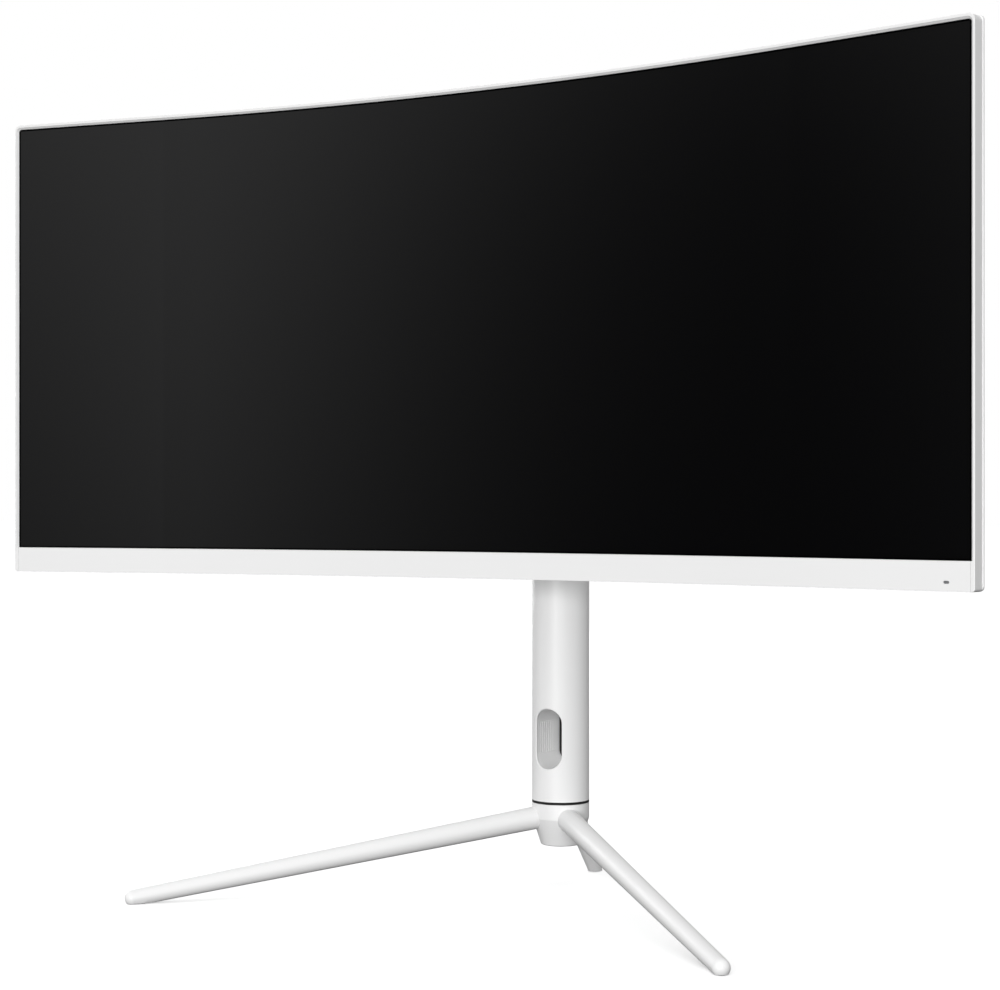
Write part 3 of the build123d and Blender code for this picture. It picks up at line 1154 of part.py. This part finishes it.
def seats(plane, places):
    """Countersunk seats and through holes for the cover's screws."""
    with BuildSketch(plane) as seat:
        with Locations(*places):
            Circle(SCREW_SEAT)
    extrude(seat.sketch, amount=-SEAT_DEPTH, mode=Mode.SUBTRACT)
    with BuildSketch(plane) as through:
        with Locations(*places):
            Circle(SCREW_SHANK)
    extrude(through.sketch, amount=-COVER_WALL - 1, mode=Mode.SUBTRACT)


def screws(plane, places):
    """Pan-head screws that fill the seats."""
    with BuildSketch(plane.offset(-SEAT_DEPTH)) as head:
        with Locations(*places):
            Circle(SCREW_SEAT - GAP)
    extrude(head.sketch, amount=SEAT_DEPTH - HEAD_SUNK)
    with BuildSketch(plane.offset(-SEAT_DEPTH)) as shank:
        with Locations(*places):
            Circle(SCREW_SHANK)
    extrude(shank.sketch, amount=-SCREW_LENGTH)
    with BuildSketch(plane.offset(-HEAD_SUNK)) as cross:
        with Locations(*places):
            Rectangle(*CROSS_SIZE)
            Rectangle(*reversed(CROSS_SIZE))
    extrude(cross.sketch, amount=-CROSS_DEPTH, mode=Mode.SUBTRACT)


def screw_bores(plane, places):
    """The holes that the cover's screws run in behind their heads."""
    with BuildSketch(plane.offset(-SEAT_DEPTH)) as bores:
        with Locations(*places):
            Circle(SCREW_SHANK)
    extrude(bores.sketch, amount=-SCREW_LENGTH, mode=Mode.SUBTRACT)


bulge_back = Plane(origin=(0, BACK_Y, 0), x_dir=(-1, 0, 0), z_dir=(0, 1, 0))
bulge_screws = [(x, z) for x in (-BULGE_SCREW_X, BULGE_SCREW_X) for z in BULGE_SCREW_Z]


def end_back(side):
    """A plane on the back of the tray's straight end, facing the back."""
    turn = radians(side * HALF_ANGLE)
    x, y = curve_point(COVER_DEPTH, side, END_SCREW_RUN)
    return Plane(origin=(x, y, 0), x_dir=(-cos(turn), sin(turn), 0), z_dir=(sin(turn), cos(turn), 0))


end_screws = [(0, z) for z in END_SCREW_Z]

with BuildPart() as rear_cover:
    cover_form(0)
    add(cover_outline.part, mode=Mode.INTERSECT)
    fillet(edges_at_depth(rear_cover, FRAME_DEPTH), RIM_ROUND)
    fillet(rear_cover.faces().sort_by(Axis.Y)[-1].edges(), BULGE_ROUND)
    add(cover_hollow.part, mode=Mode.SUBTRACT)
    # Recess for the mount plate and its button: walls all round, then the hollow itself
    recess_z = (latch_z[0] - LATCH_TRAVEL - 1, MOUNT_HEIGHT + PLATE_HALF_HEIGHT + 1)
    wide, narrow = PLATE_HALF_WIDTH + 1, LATCH_HALF_WIDTH + 0.5
    plate_z = (MOUNT_HEIGHT - PLATE_HALF_HEIGHT - 0.5, recess_z[1])
    for half, low, high in ((wide, *plate_z), (narrow, recess_z[0], plate_z[0] + 1)):
        box_y = (BRACKET_BACK, BACK_Y)
        box_z = (low - COVER_WALL, high + COVER_WALL)
        block((-half - COVER_WALL, half + COVER_WALL), box_y, box_z)
    for half, low, high in ((wide, *plate_z), (narrow, recess_z[0], plate_z[0] + 1)):
        block((-half, half), (RECESS_FLOOR, BACK_Y + 1), (low, high), Mode.SUBTRACT)
    # Pocket for the sockets
    io_x = (IO_CENTRE_X - IO_WIDTH / 2, IO_CENTRE_X + IO_WIDTH / 2)
    io_z = (IO_CENTRE_Z - IO_HEIGHT / 2, IO_CENTRE_Z + IO_HEIGHT / 2)
    outer_x = (io_x[0] - COVER_WALL, io_x[1] + COVER_WALL)
    outer_z = (io_z[0] - COVER_WALL, io_z[1] + COVER_WALL)
    block(outer_x, (IO_FLOOR - COVER_WALL, BACK_Y), outer_z)
    block(io_x, (IO_FLOOR, BACK_Y + 1), io_z, Mode.SUBTRACT)
    for x, (width, height) in socket_spots:
        spot_x = (x - width / 2 - GAP, x + width / 2 + GAP)
        spot_z = (IO_CENTRE_Z - height / 2 - GAP, IO_CENTRE_Z + height / 2 + GAP)
        block(spot_x, (IO_FLOOR - COVER_WALL - 1, IO_FLOOR + 1), spot_z, Mode.SUBTRACT)
    with BuildSketch(bulge_back) as insert_holes:
        with Locations((0, MOUNT_HEIGHT)):
            with GridLocations(VESA_PITCH, VESA_PITCH, 2, 2):
                Circle(INSERT_RADIUS)
    extrude(insert_holes.sketch, amount=-COVER_WALL - 1, mode=Mode.SUBTRACT)
    with BuildSketch(bulge_back) as vents:
        with Locations((0, VENT_TOP_Z)):
            with GridLocations(VENT_PITCH, 1, VENT_TOP_COUNT, 1):
                SlotOverall(VENT_LENGTH, VENT_WIDTH, rotation=90)
        with Locations((-VENT_LOW_X, IO_CENTRE_Z)):
            with GridLocations(VENT_PITCH, 1, VENT_LOW_COUNT, 1):
                SlotOverall(VENT_LENGTH, VENT_WIDTH, rotation=90)
    extrude(vents.sketch, amount=-COVER_WALL - 1, mode=Mode.SUBTRACT)
    seats(bulge_back, bulge_screws)
    for s in (-1, 1):
        seats(end_back(s), end_screws)
rear_cover.part.label = "rear_cover"
export_step(rear_cover.part, "parts/rear_cover.step")

with BuildPart() as cover_screws:
    screws(bulge_back, bulge_screws)
    for s in (-1, 1):
        screws(end_back(s), end_screws)
cover_screws.part.label = "cover_screws"
export_step(cover_screws.part, "parts/cover_screws.step")

# Back pan of the screen, with hollow posts for the cover's screws
POST_RADIUS = 3.6
with BuildPart() as panel_chassis:
    curved_layer(*CHASSIS, LAYER_SIDE, LAYER_BOTTOM, LAYER_TOP)
    with BuildSketch(bulge_back.offset(-COVER_WALL - GAP)) as bulge_posts:
        with Locations(*bulge_screws):
            Circle(POST_RADIUS)
    extrude(bulge_posts.sketch, amount=-BULGE_DEPTH)
    for s in (-1, 1):
        with BuildSketch(end_back(s).offset(-COVER_WALL - GAP)) as end_posts:
            with Locations(*end_screws):
                Circle(POST_RADIUS)
        extrude(end_posts.sketch, amount=-COVER_DEPTH + COVER_WALL + CHASSIS[0])
    curved_layer(-CUT, CHASSIS[0], BORDER, FRAME_BOTTOM, FRAME_TOP, Mode.SUBTRACT)
    screw_bores(bulge_back, bulge_screws)
    for s in (-1, 1):
        screw_bores(end_back(s), end_screws)
panel_chassis.part.label = "panel_chassis"
export_step(panel_chassis.part, "parts/panel_chassis.step")


# ---- Display: boards and sockets --------------------------------------------------------------

BOARD_THICK = 1.6
BOARD_Z = (266.0, 312.0)
MAIN_BOARD_X = (-146.0, -20.0)
MAIN_CHIPS_X = ((-100.0, -80.0), (-60.0, -44.0))
CHIP_THICK = 1.5
CHIP_Z = (BOARD_Z[1] - 11.0, BOARD_Z[1] - 2.0)
POWER_BOARD_X = (20.0, 140.0)
CAPACITORS = ((40, 280, 5.0), (40, 298, 5.0), (60, 289, 6.5))
CAPACITOR_HEIGHT = 12.0
COIL_X = (86.0, 108.0)
COIL_HEIGHT = 9.0
COIL_Z = (278.0, 300.0)
TCON_Y = GLASS_Y + CHASSIS_BACK + 3.0
TCON_THICK = 1.2
TCON_HALF_WIDTH = 80.0
TCON_Z = (236.0, 256.0)
TCON_CHIP_HALF = 9.0
TCON_CHIP_Z = (240.0, 252.0)
SOCKET_WALL = 0.6
SOCKET_MOUTH = 9.0
BLADE_THICK = 0.9
BLADE_INSET = 2.2
BLADE_Y = (IO_FLOOR - 9.5, IO_FLOOR - 1.5)

with BuildPart() as main_board:
    block(MAIN_BOARD_X, (BOARD_FACE - BOARD_THICK, BOARD_FACE), BOARD_Z)
    for chip_x in MAIN_CHIPS_X:
        block(chip_x, (BOARD_FACE, BOARD_FACE + CHIP_THICK), CHIP_Z)
main_board.part.label = "main_board"
export_step(main_board.part, "parts/main_board.step")

with BuildPart() as power_board:
    block(POWER_BOARD_X, (BOARD_FACE - BOARD_THICK, BOARD_FACE), BOARD_Z)
    for x, z, radius in CAPACITORS:
        rod_between(Vector(x, BOARD_FACE, z), Vector(x, BOARD_FACE + CAPACITOR_HEIGHT, z), radius)
    block(COIL_X, (BOARD_FACE, BOARD_FACE + COIL_HEIGHT), COIL_Z)
power_board.part.label = "power_board"
export_step(power_board.part, "parts/power_board.step")

with BuildPart() as tcon_board:
    block((-TCON_HALF_WIDTH, TCON_HALF_WIDTH), (TCON_Y, TCON_Y + TCON_THICK), TCON_Z)
    chip_y = (TCON_Y + TCON_THICK, TCON_Y + TCON_THICK + CHIP_THICK)
    block((-TCON_CHIP_HALF, TCON_CHIP_HALF), chip_y, TCON_CHIP_Z)
tcon_board.part.label = "tcon_board"
export_step(tcon_board.part, "parts/tcon_board.step")


def socket_shell(x, size, inner_depth):
    """A socket's square body with its mouth open to the back."""
    width, height = size
    low_z, high_z = IO_CENTRE_Z - height / 2, IO_CENTRE_Z + height / 2
    block((x - width / 2, x + width / 2), (BOARD_FACE, IO_FLOOR), (low_z, high_z))
    mouth_x = (x - width / 2 + SOCKET_WALL, x + width / 2 - SOCKET_WALL)
    mouth_z = (low_z + SOCKET_WALL, high_z - SOCKET_WALL)
    block(mouth_x, (IO_FLOOR - inner_depth, IO_FLOOR), mouth_z, Mode.SUBTRACT)


with BuildPart() as video_sockets:
    for x, size in socket_spots[:4]:
        socket_shell(x, size, SOCKET_MOUTH)
        blade_half = size[0] / 2 - BLADE_INSET
        blade_z = (IO_CENTRE_Z - BLADE_THICK / 2, IO_CENTRE_Z + BLADE_THICK / 2)
        block((x - blade_half, x + blade_half), BLADE_Y, blade_z)
video_sockets.part.label = "video_sockets"
export_step(video_sockets.part, "parts/video_sockets.step")

AUDIO_BORE = 1.8
with BuildPart() as audio_socket:
    audio_z = (IO_CENTRE_Z - AUDIO_BODY[1] / 2, IO_CENTRE_Z + AUDIO_BODY[1] / 2)
    block((AUDIO_X - AUDIO_BODY[0] / 2, AUDIO_X + AUDIO_BODY[0] / 2), (BOARD_FACE, IO_FLOOR), audio_z)
    mouth = Vector(AUDIO_X, IO_FLOOR, IO_CENTRE_Z)
    rod_between(mouth, Vector(AUDIO_X, BOARD_FACE + 1, IO_CENTRE_Z), AUDIO_BORE, Mode.SUBTRACT)
audio_socket.part.label = "audio_socket"
export_step(audio_socket.part, "parts/audio_socket.step")

DC_BORE = 3.0
DC_PIN = 1.05
DC_DEPTH = 9.5
with BuildPart() as dc_socket:
    dc_z = (IO_CENTRE_Z - DC_BODY[1] / 2, IO_CENTRE_Z + DC_BODY[1] / 2)
    block((DC_X - DC_BODY[0] / 2, DC_X + DC_BODY[0] / 2), (BOARD_FACE, IO_FLOOR), dc_z)
    mouth = Vector(DC_X, IO_FLOOR, IO_CENTRE_Z)
    rod_between(mouth, Vector(DC_X, IO_FLOOR - DC_DEPTH, IO_CENTRE_Z), DC_BORE, Mode.SUBTRACT)
    pin_tip, pin_root = (Vector(DC_X, y, IO_CENTRE_Z) for y in (IO_FLOOR - 1, BOARD_FACE + 1))
    rod_between(pin_tip, pin_root, DC_PIN)
dc_socket.part.label = "dc_socket"
export_step(dc_socket.part, "parts/dc_socket.step")
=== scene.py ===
import json
from math import cos, pi, radians, sin

import bpy
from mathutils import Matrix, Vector


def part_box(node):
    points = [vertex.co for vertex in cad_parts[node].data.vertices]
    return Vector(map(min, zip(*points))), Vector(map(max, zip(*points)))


# The looks of a white, curved desk monitor: camera, studio and a material for every piece.
# Metres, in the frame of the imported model.

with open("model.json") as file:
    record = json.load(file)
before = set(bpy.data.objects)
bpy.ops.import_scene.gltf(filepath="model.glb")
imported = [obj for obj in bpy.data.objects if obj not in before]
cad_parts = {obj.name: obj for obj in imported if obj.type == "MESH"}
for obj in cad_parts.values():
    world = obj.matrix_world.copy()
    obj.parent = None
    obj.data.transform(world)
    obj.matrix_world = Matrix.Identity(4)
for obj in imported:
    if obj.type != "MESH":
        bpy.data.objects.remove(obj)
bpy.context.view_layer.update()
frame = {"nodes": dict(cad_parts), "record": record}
nodes = frame["nodes"]
MM = 0.001


def middle(node):
    """The centre of a node's box."""
    low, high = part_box(node)
    return (low + high) / 2


# ---- Camera -----------------------------------------------------------------------------------

# A level view from the right, with the column a little beside the middle of the frame.
CAMERA_TURN = radians(29.81)
CAMERA_SIDE = 42.4 * MM
CAMERA_DISTANCE = 1456.3 * MM
CAMERA_HEIGHT = 266.2 * MM
LENS = 75
SENSOR_WIDTH = 36
SHIFT_UP = 0.0064

column_axis = middle("column_tube")
look = Vector((-sin(CAMERA_TURN), cos(CAMERA_TURN), 0))
across = Vector((cos(CAMERA_TURN), sin(CAMERA_TURN), 0))
camera_data = bpy.data.cameras.new("camera")
camera_data.lens = LENS
camera_data.sensor_width = SENSOR_WIDTH
camera_data.shift_y = SHIFT_UP
camera = bpy.data.objects.new("camera", camera_data)
camera.location = Vector((column_axis.x, column_axis.y, CAMERA_HEIGHT))
camera.location += -look * CAMERA_DISTANCE - across * CAMERA_SIDE
camera.rotation_euler = (pi / 2, 0, CAMERA_TURN)
bpy.context.scene.collection.objects.link(camera)
bpy.context.scene.camera = camera


# ---- Studio -----------------------------------------------------------------------------------

LAMP_DISTANCE = 3.0
screen_centre = middle("lcd_panel")


def softbox(name, turn, height, size, power):
    """A soft lamp that faces the screen, turned round it in degrees from the front to the right."""
    data = bpy.data.lights.new(name, "AREA")
    data.shape = "RECTANGLE"
    data.size, data.size_y = size
    data.energy = power
    outwards = Vector((sin(radians(turn)), -cos(radians(turn)), 0))
    lamp = bpy.data.objects.new(name, data)
    lamp.location = Vector((screen_centre.x, screen_centre.y, height)) + LAMP_DISTANCE * outwards
    lamp.rotation_euler = outwards.to_track_quat("Z", "Y").to_euler()
    bpy.context.scene.collection.objects.link(lamp)


BOX_HEIGHT = 0.35
BOX_SIZE = (0.8, 0.7)
softbox("front_box", 0, BOX_HEIGHT, BOX_SIZE, 15)
softbox("key_box", 10, BOX_HEIGHT, BOX_SIZE, 36)
softbox("side_box", 35, BOX_HEIGHT, BOX_SIZE, 20)
softbox("left_box", -66, BOX_HEIGHT, BOX_SIZE, 5)
softbox("rear_box", 235, 2 * BOX_HEIGHT, (1.2, 1.2), 30)

# The room is paler above than below, and changes over directions that rise or fall by up to SLOPE.
# A black flag stands to the left of the screen: no light comes from within FLAG_CORE of its
# direction, and all of it from beyond FLAG_EDGE.
ABOVE = 0.75
BELOW = 0.02
SLOPE = 0.25
FLAG_TURN = radians(-48)
FLAG_CORE = radians(10)
FLAG_EDGE = radians(30)
WHITE_LIGHT = (1, 1, 1, 1)

world = bpy.data.worlds.new("studio")
bpy.context.scene.world = world
world.use_nodes = True
tree = world.node_tree


def world_node(kind, inputs=()):
    """A node of the world with its inputs linked or set by index."""
    made = tree.nodes.new(kind)
    for index, value in inputs:
        if isinstance(value, bpy.types.NodeSocket):
            tree.links.new(value, made.inputs[index])
        else:
            made.inputs[index].default_value = value
    return made


direction = world_node("ShaderNodeTexCoord").outputs["Generated"]
height = world_node("ShaderNodeSeparateXYZ", [(0, direction)]).outputs["Z"]
flag_axis = (sin(FLAG_TURN), -cos(FLAG_TURN), 0)
nearness = world_node("ShaderNodeVectorMath", [(0, direction), (1, flag_axis)])
nearness.operation = "DOT_PRODUCT"
room = world_node("ShaderNodeMapRange", [(0, height), (1, -SLOPE), (2, SLOPE), (3, BELOW), (4, ABOVE)])
shade_range = [(1, cos(FLAG_EDGE)), (2, cos(FLAG_CORE)), (3, 1.0), (4, 0.0)]
shade = world_node("ShaderNodeMapRange", [(0, nearness.outputs["Value"]), *shade_range])
shade.interpolation_type = "SMOOTHSTEP"
strength = world_node("ShaderNodeMath", [(0, room.outputs[0]), (1, shade.outputs[0])])
strength.operation = "MULTIPLY"
lit = world_node("ShaderNodeBackground", [(0, WHITE_LIGHT), (1, strength.outputs[0])])
seen = world_node("ShaderNodeBackground", [(0, WHITE_LIGHT), (1, 1.0)])
to_camera = world_node("ShaderNodeLightPath").outputs["Is Camera Ray"]
backgrounds = [(1, lit.outputs[0]), (2, seen.outputs[0])]
choice = world_node("ShaderNodeMixShader", [(0, to_camera), *backgrounds])
tree.links.new(choice.outputs[0], tree.nodes["World Output"].inputs["Surface"])
bpy.context.scene.view_settings.view_transform = "Standard"

FLOOR_HALF = 20.0
signs = [(-1, -1), (1, -1), (1, 1), (-1, 1)]
corners = [(x * FLOOR_HALF, y * FLOOR_HALF, 0) for x, y in signs]
floor_mesh = bpy.data.meshes.new("floor")
floor_mesh.from_pydata(corners, [], [(0, 1, 2, 3)])
floor = bpy.data.objects.new("floor", floor_mesh)
floor.visible_diffuse = False
floor.visible_glossy = False
bpy.context.scene.collection.objects.link(floor)


# ---- Materials --------------------------------------------------------------------------------

BEVEL_SAMPLES = 4


class Finish:
    """A node-based material round one Principled shader, in the piece's own coordinates."""

    def __init__(self, name, colour, roughness, metallic=0.0):
        self.material = bpy.data.materials.new(name)
        self.material.use_nodes = True
        self.tree = self.material.node_tree
        self.shader = self.tree.nodes["Principled BSDF"]
        self.colour = colour
        self.shader.inputs["Base Color"].default_value = (*colour, 1)
        self.shader.inputs["Roughness"].default_value = roughness
        self.shader.inputs["Metallic"].default_value = metallic
        self.place = self.node("ShaderNodeTexCoord").outputs["Object"]
        self.normal = None

    def node(self, kind, links=(), **values):
        """A node with some inputs set by name; links are pairs of an input's name and a socket."""
        made = self.tree.nodes.new(kind)
        for name, value in values.items():
            made.inputs[name.replace("_", " ")].default_value = value
        for name, socket in links:
            self.tree.links.new(socket, made.inputs[name])
        return made

    def stretched(self, scale):
        """The piece's coordinates, scaled by a factor on each axis."""
        mapping = self.node("ShaderNodeMapping", [("Vector", self.place)])
        mapping.inputs["Scale"].default_value = scale
        return mapping.outputs[0]

    def noise(self, scale, detail=3.0, place=None):
        """Soft noise from 0 to 1 with about scale lumps a metre."""
        links = [("Vector", place or self.place)]
        return self.node("ShaderNodeTexNoise", links, Scale=scale, Detail=detail).outputs[0]

    def spread(self, socket, lowest, highest):
        """A 0 to 1 value mapped to a range."""
        made = self.node("ShaderNodeMapRange", [("Value", socket)], To_Min=lowest, To_Max=highest)
        return made.outputs[0]

    def step(self, socket, edge, blur):
        """0 before an edge and 1 after it, or the other way round where blur is negative."""
        limits = {"From_Min": edge - blur, "From_Max": edge + blur}
        return self.node("ShaderNodeMapRange", [("Value", socket)], **limits).outputs[0]

    def product(self, first, second):
        """Two values multiplied."""
        made = self.tree.nodes.new("ShaderNodeMath")
        made.operation = "MULTIPLY"
        self.tree.links.new(first, made.inputs[0])
        self.tree.links.new(second, made.inputs[1])
        return made.outputs[0]

    def tint(self, factor, colour):
        """Turns the base colour towards another one by a factor."""
        # A Mix node's colours go in by sockets 6 and 7 and come out by socket 2.
        mix = self.tree.nodes.new("ShaderNodeMix")
        mix.data_type = "RGBA"
        self.tree.links.new(factor, mix.inputs["Factor"])
        before = self.shader.inputs["Base Color"]
        if before.is_linked:
            self.tree.links.new(before.links[0].from_socket, mix.inputs[6])
        else:
            mix.inputs[6].default_value = (*self.colour, 1)
        mix.inputs[7].default_value = (*colour, 1)
        self.tree.links.new(mix.outputs[2], before)
        return self

    def rough(self, socket, lowest, highest):
        """Roughness that follows a 0 to 1 value."""
        self.tree.links.new(self.spread(socket, lowest, highest), self.shader.inputs["Roughness"])
        return self

    def rounded(self, radius):
        """Sharp edges catch the light as if they were rounded."""
        made = self.node("ShaderNodeBevel", Radius=radius)
        made.samples = BEVEL_SAMPLES
        self.normal = made.outputs[0]
        self.tree.links.new(self.normal, self.shader.inputs["Normal"])
        return self

    def bump(self, height, depth):
        """Relief of a real depth in metres from a 0 to 1 height."""
        links = [("Height", height)] + ([("Normal", self.normal)] if self.normal else [])
        made = self.node("ShaderNodeBump", links, Strength=1.0, Distance=depth)
        self.normal = made.outputs[0]
        self.tree.links.new(self.normal, self.shader.inputs["Normal"])
        return self


def white_plastic(name, colour, grain, gloss):
    """Moulded plastic: a faint cloudiness, a fine spark-eroded grain and uneven gloss."""
    made = Finish(name, colour, gloss).rounded(0.35 * MM)
    shade = tuple(0.965 * part for part in colour)
    made.tint(made.noise(9.0), shade)
    made.rough(made.noise(60.0), gloss - 0.04, gloss + 0.05)
    return made.bump(made.noise(2600.0, 2.0), grain)


def painted_metal(name, colour):
    """White lacquer with a faint orange-peel surface."""
    made = Finish(name, colour, 0.42)
    made.shader.inputs["Specular IOR Level"].default_value = 0.35
    made.tint(made.noise(7.0), tuple(0.985 * part for part in colour))
    made.rough(made.noise(40.0), 0.4, 0.46)
    made.shader.inputs["Coat Weight"].default_value = 0.1
    made.shader.inputs["Coat Roughness"].default_value = 0.25
    return made.bump(made.noise(420.0, 1.0), 0.003 * MM)


def black_plastic(name, colour, roughness):
    """Moulded black plastic with a matt grain."""
    made = Finish(name, colour, roughness).rounded(0.25 * MM)
    made.shader.inputs["Specular IOR Level"].default_value = 0.25
    made.tint(made.noise(500.0), tuple(part * 1.8 for part in colour))
    made.rough(made.noise(180.0), roughness - 0.06, roughness + 0.08)
    return made.bump(made.noise(2400.0, 2.0), 0.02 * MM)


def rubber(name):
    """Dull rubber, speckled grey."""
    made = Finish(name, (0.09, 0.09, 0.095), 0.85)
    made.tint(made.noise(900.0, 4.0), (0.15, 0.15, 0.15))
    made.rough(made.noise(300.0), 0.75, 0.95)
    return made.bump(made.noise(1500.0, 4.0), 0.08 * MM)


def drawn_metal(name, colour, roughness, stretch):
    """Metal with fine lines along the axis that stretch leaves long."""
    made = Finish(name, colour, roughness, 1.0).rounded(0.2 * MM)
    lines = made.noise(900.0, 4.0, made.stretched(stretch))
    made.tint(lines, tuple(0.8 * part for part in colour))
    made.rough(lines, roughness - 0.08, roughness + 0.12)
    return made.bump(lines, 0.01 * MM)


def cast_metal(name):
    """Die-cast alloy with a coarse skin."""
    made = Finish(name, (0.5, 0.51, 0.53), 0.5, 1.0).rounded(0.3 * MM)
    made.tint(made.noise(70.0, 5.0), (0.4, 0.4, 0.42))
    made.rough(made.noise(500.0), 0.42, 0.62)
    return made.bump(made.noise(1300.0, 5.0), 0.04 * MM)


def galvanised(name):
    """Zinc-coated sheet with its pale crystal patches."""
    made = Finish(name, (0.62, 0.63, 0.65), 0.4, 1.0)
    flakes = made.node("ShaderNodeTexVoronoi", [("Vector", made.place)], Scale=110.0)
    red = made.node("ShaderNodeSeparateColor", [("Color", flakes.outputs["Color"])]).outputs[0]
    made.tint(red, (0.5, 0.51, 0.53))
    return made.rough(made.noise(260.0), 0.3, 0.5)


def circuit_board(name):
    """Green solder resist with rows of tracks."""
    made = Finish(name, (0.02, 0.12, 0.06), 0.35)
    flat = made.stretched((1, 0, 1))
    tracks = made.node("ShaderNodeTexBrick", [("Vector", flat)], Scale=260.0, Mortar_Size=0.06)
    made.tint(tracks.outputs["Fac"], (0.05, 0.26, 0.12))
    return made.rough(made.noise(300.0), 0.3, 0.45)


def clear_sheet(name, colour, roughness):
    """A pale translucent-looking sheet, slightly uneven."""
    made = Finish(name, colour, roughness)
    made.tint(made.noise(25.0), tuple(0.94 * part for part in colour))
    return made.rough(made.noise(800.0), roughness - 0.05, roughness + 0.1)


# How far the frame covers the panel, and the widths of the screen's black border and of the line
# along the lip where the glass goes dark.
SIDE_COVER = 1.4 * MM
BOTTOM_COVER = 4.3 * MM
TOP_COVER = 1.5 * MM
BLACK_BORDER = 3.0 * MM
DARK_LINE = 1.1 * MM
EDGE_BLUR = 0.1 * MM
SCREEN_ROUGHNESS = 0.2


def screen_glass():
    """Anti-glare front of the panel, with its picture area, black border and dark line."""
    made = Finish("screen", (0.0003, 0.0003, 0.0004), SCREEN_ROUGHNESS)
    split = made.node("ShaderNodeSeparateXYZ", [("Vector", made.place)])
    across, up = split.outputs["X"], split.outputs["Z"]
    panel_low, panel_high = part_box("lcd_panel")
    side = panel_high.x - SIDE_COVER
    bottom = panel_low.z + BOTTOM_COVER
    top = panel_high.z - TOP_COVER

    def inside(inset):
        """1 within the visible glass less an inset, and 0 outside it."""
        answer = made.step(across, inset - side, EDGE_BLUR)
        for socket, edge, blur in (
            (across, side - inset, -EDGE_BLUR),
            (up, bottom + inset, EDGE_BLUR),
            (up, top - inset, -EDGE_BLUR),
        ):
            answer = made.product(answer, made.step(socket, edge, blur))
        return answer

    made.tint(inside(BLACK_BORDER), (0.0005, 0.0005, 0.0007))
    gloss = made.spread(inside(DARK_LINE), 0.0, 0.5)
    made.tree.links.new(gloss, made.shader.inputs["Specular IOR Level"])
    made.rough(made.noise(3000.0, 2.0), SCREEN_ROUGHNESS - 0.02, SCREEN_ROUGHNESS + 0.02)
    return made.bump(made.noise(5200.0, 2.0), 0.006 * MM)


WHITE = (0.80, 0.80, 0.80)

# Scales that leave a texture long along one axis.
X_LINES = (0.02, 1, 1)
Y_LINES = (1, 0.02, 1)
Z_LINES = (1, 1, 0.02)

finishes = {
    "white_shell": white_plastic("white_shell", WHITE, 0.012 * MM, 0.34),
    "white_button": white_plastic("white_button", WHITE, 0.006 * MM, 0.3),
    "white_metal": painted_metal("white_metal", (0.827, 0.827, 0.827)),
    # Painted light: the tunnel's plastic is paler than the shell's white so that the shaded inside of
    # the hole through the column comes out brighter.
    "tunnel_plastic": white_plastic("tunnel_plastic", (0.93, 0.93, 0.93), 0.01 * MM, 0.5),
    "black_plastic": black_plastic("black_plastic", (0.006, 0.006, 0.006), 0.65),
    "screen_glass": screen_glass(),
    "rubber": rubber("rubber"),
    "steel": drawn_metal("steel", (0.62, 0.62, 0.64), 0.32, Z_LINES),
    "spring_steel": drawn_metal("spring_steel", (0.36, 0.38, 0.43), 0.28, X_LINES),
    "sheet_steel": galvanised("sheet_steel"),
    "cast_alloy": cast_metal("cast_alloy"),
    "acetal": white_plastic("acetal", (0.7, 0.7, 0.67), 0.01 * MM, 0.4),
    "brass_insert": drawn_metal("brass_insert", (0.8, 0.6, 0.3), 0.3, Y_LINES),
    "diffuser": clear_sheet("diffuser", (0.8, 0.82, 0.84), 0.3),
    "led_board": circuit_board("led_board"),
    "circuit_board": circuit_board("circuit_board"),
    "socket_metal": drawn_metal("socket_metal", (0.7, 0.7, 0.72), 0.3, X_LINES),
    "socket_plastic": black_plastic("socket_plastic", (0.015, 0.015, 0.016), 0.5),
    "light_lens": clear_sheet("light_lens", (0.16, 0.165, 0.17), 0.35),
}

for part in frame["record"]["subparts"]:
    mesh = nodes[part["node"]].data
    mesh.materials.clear()
    mesh.materials.append(finishes[part["material_slot"]].material)

floor_paint = Finish("floor_paint", (0.98, 0.98, 0.98), 0.9)
floor_paint.shader.inputs["Emission Color"].default_value = (1, 1, 1, 1)
floor_paint.shader.inputs["Emission Strength"].default_value = 0.34
floor_paint.tint(floor_paint.noise(3.0), (0.96, 0.96, 0.96))
floor_mesh.materials.append(floor_paint.material)
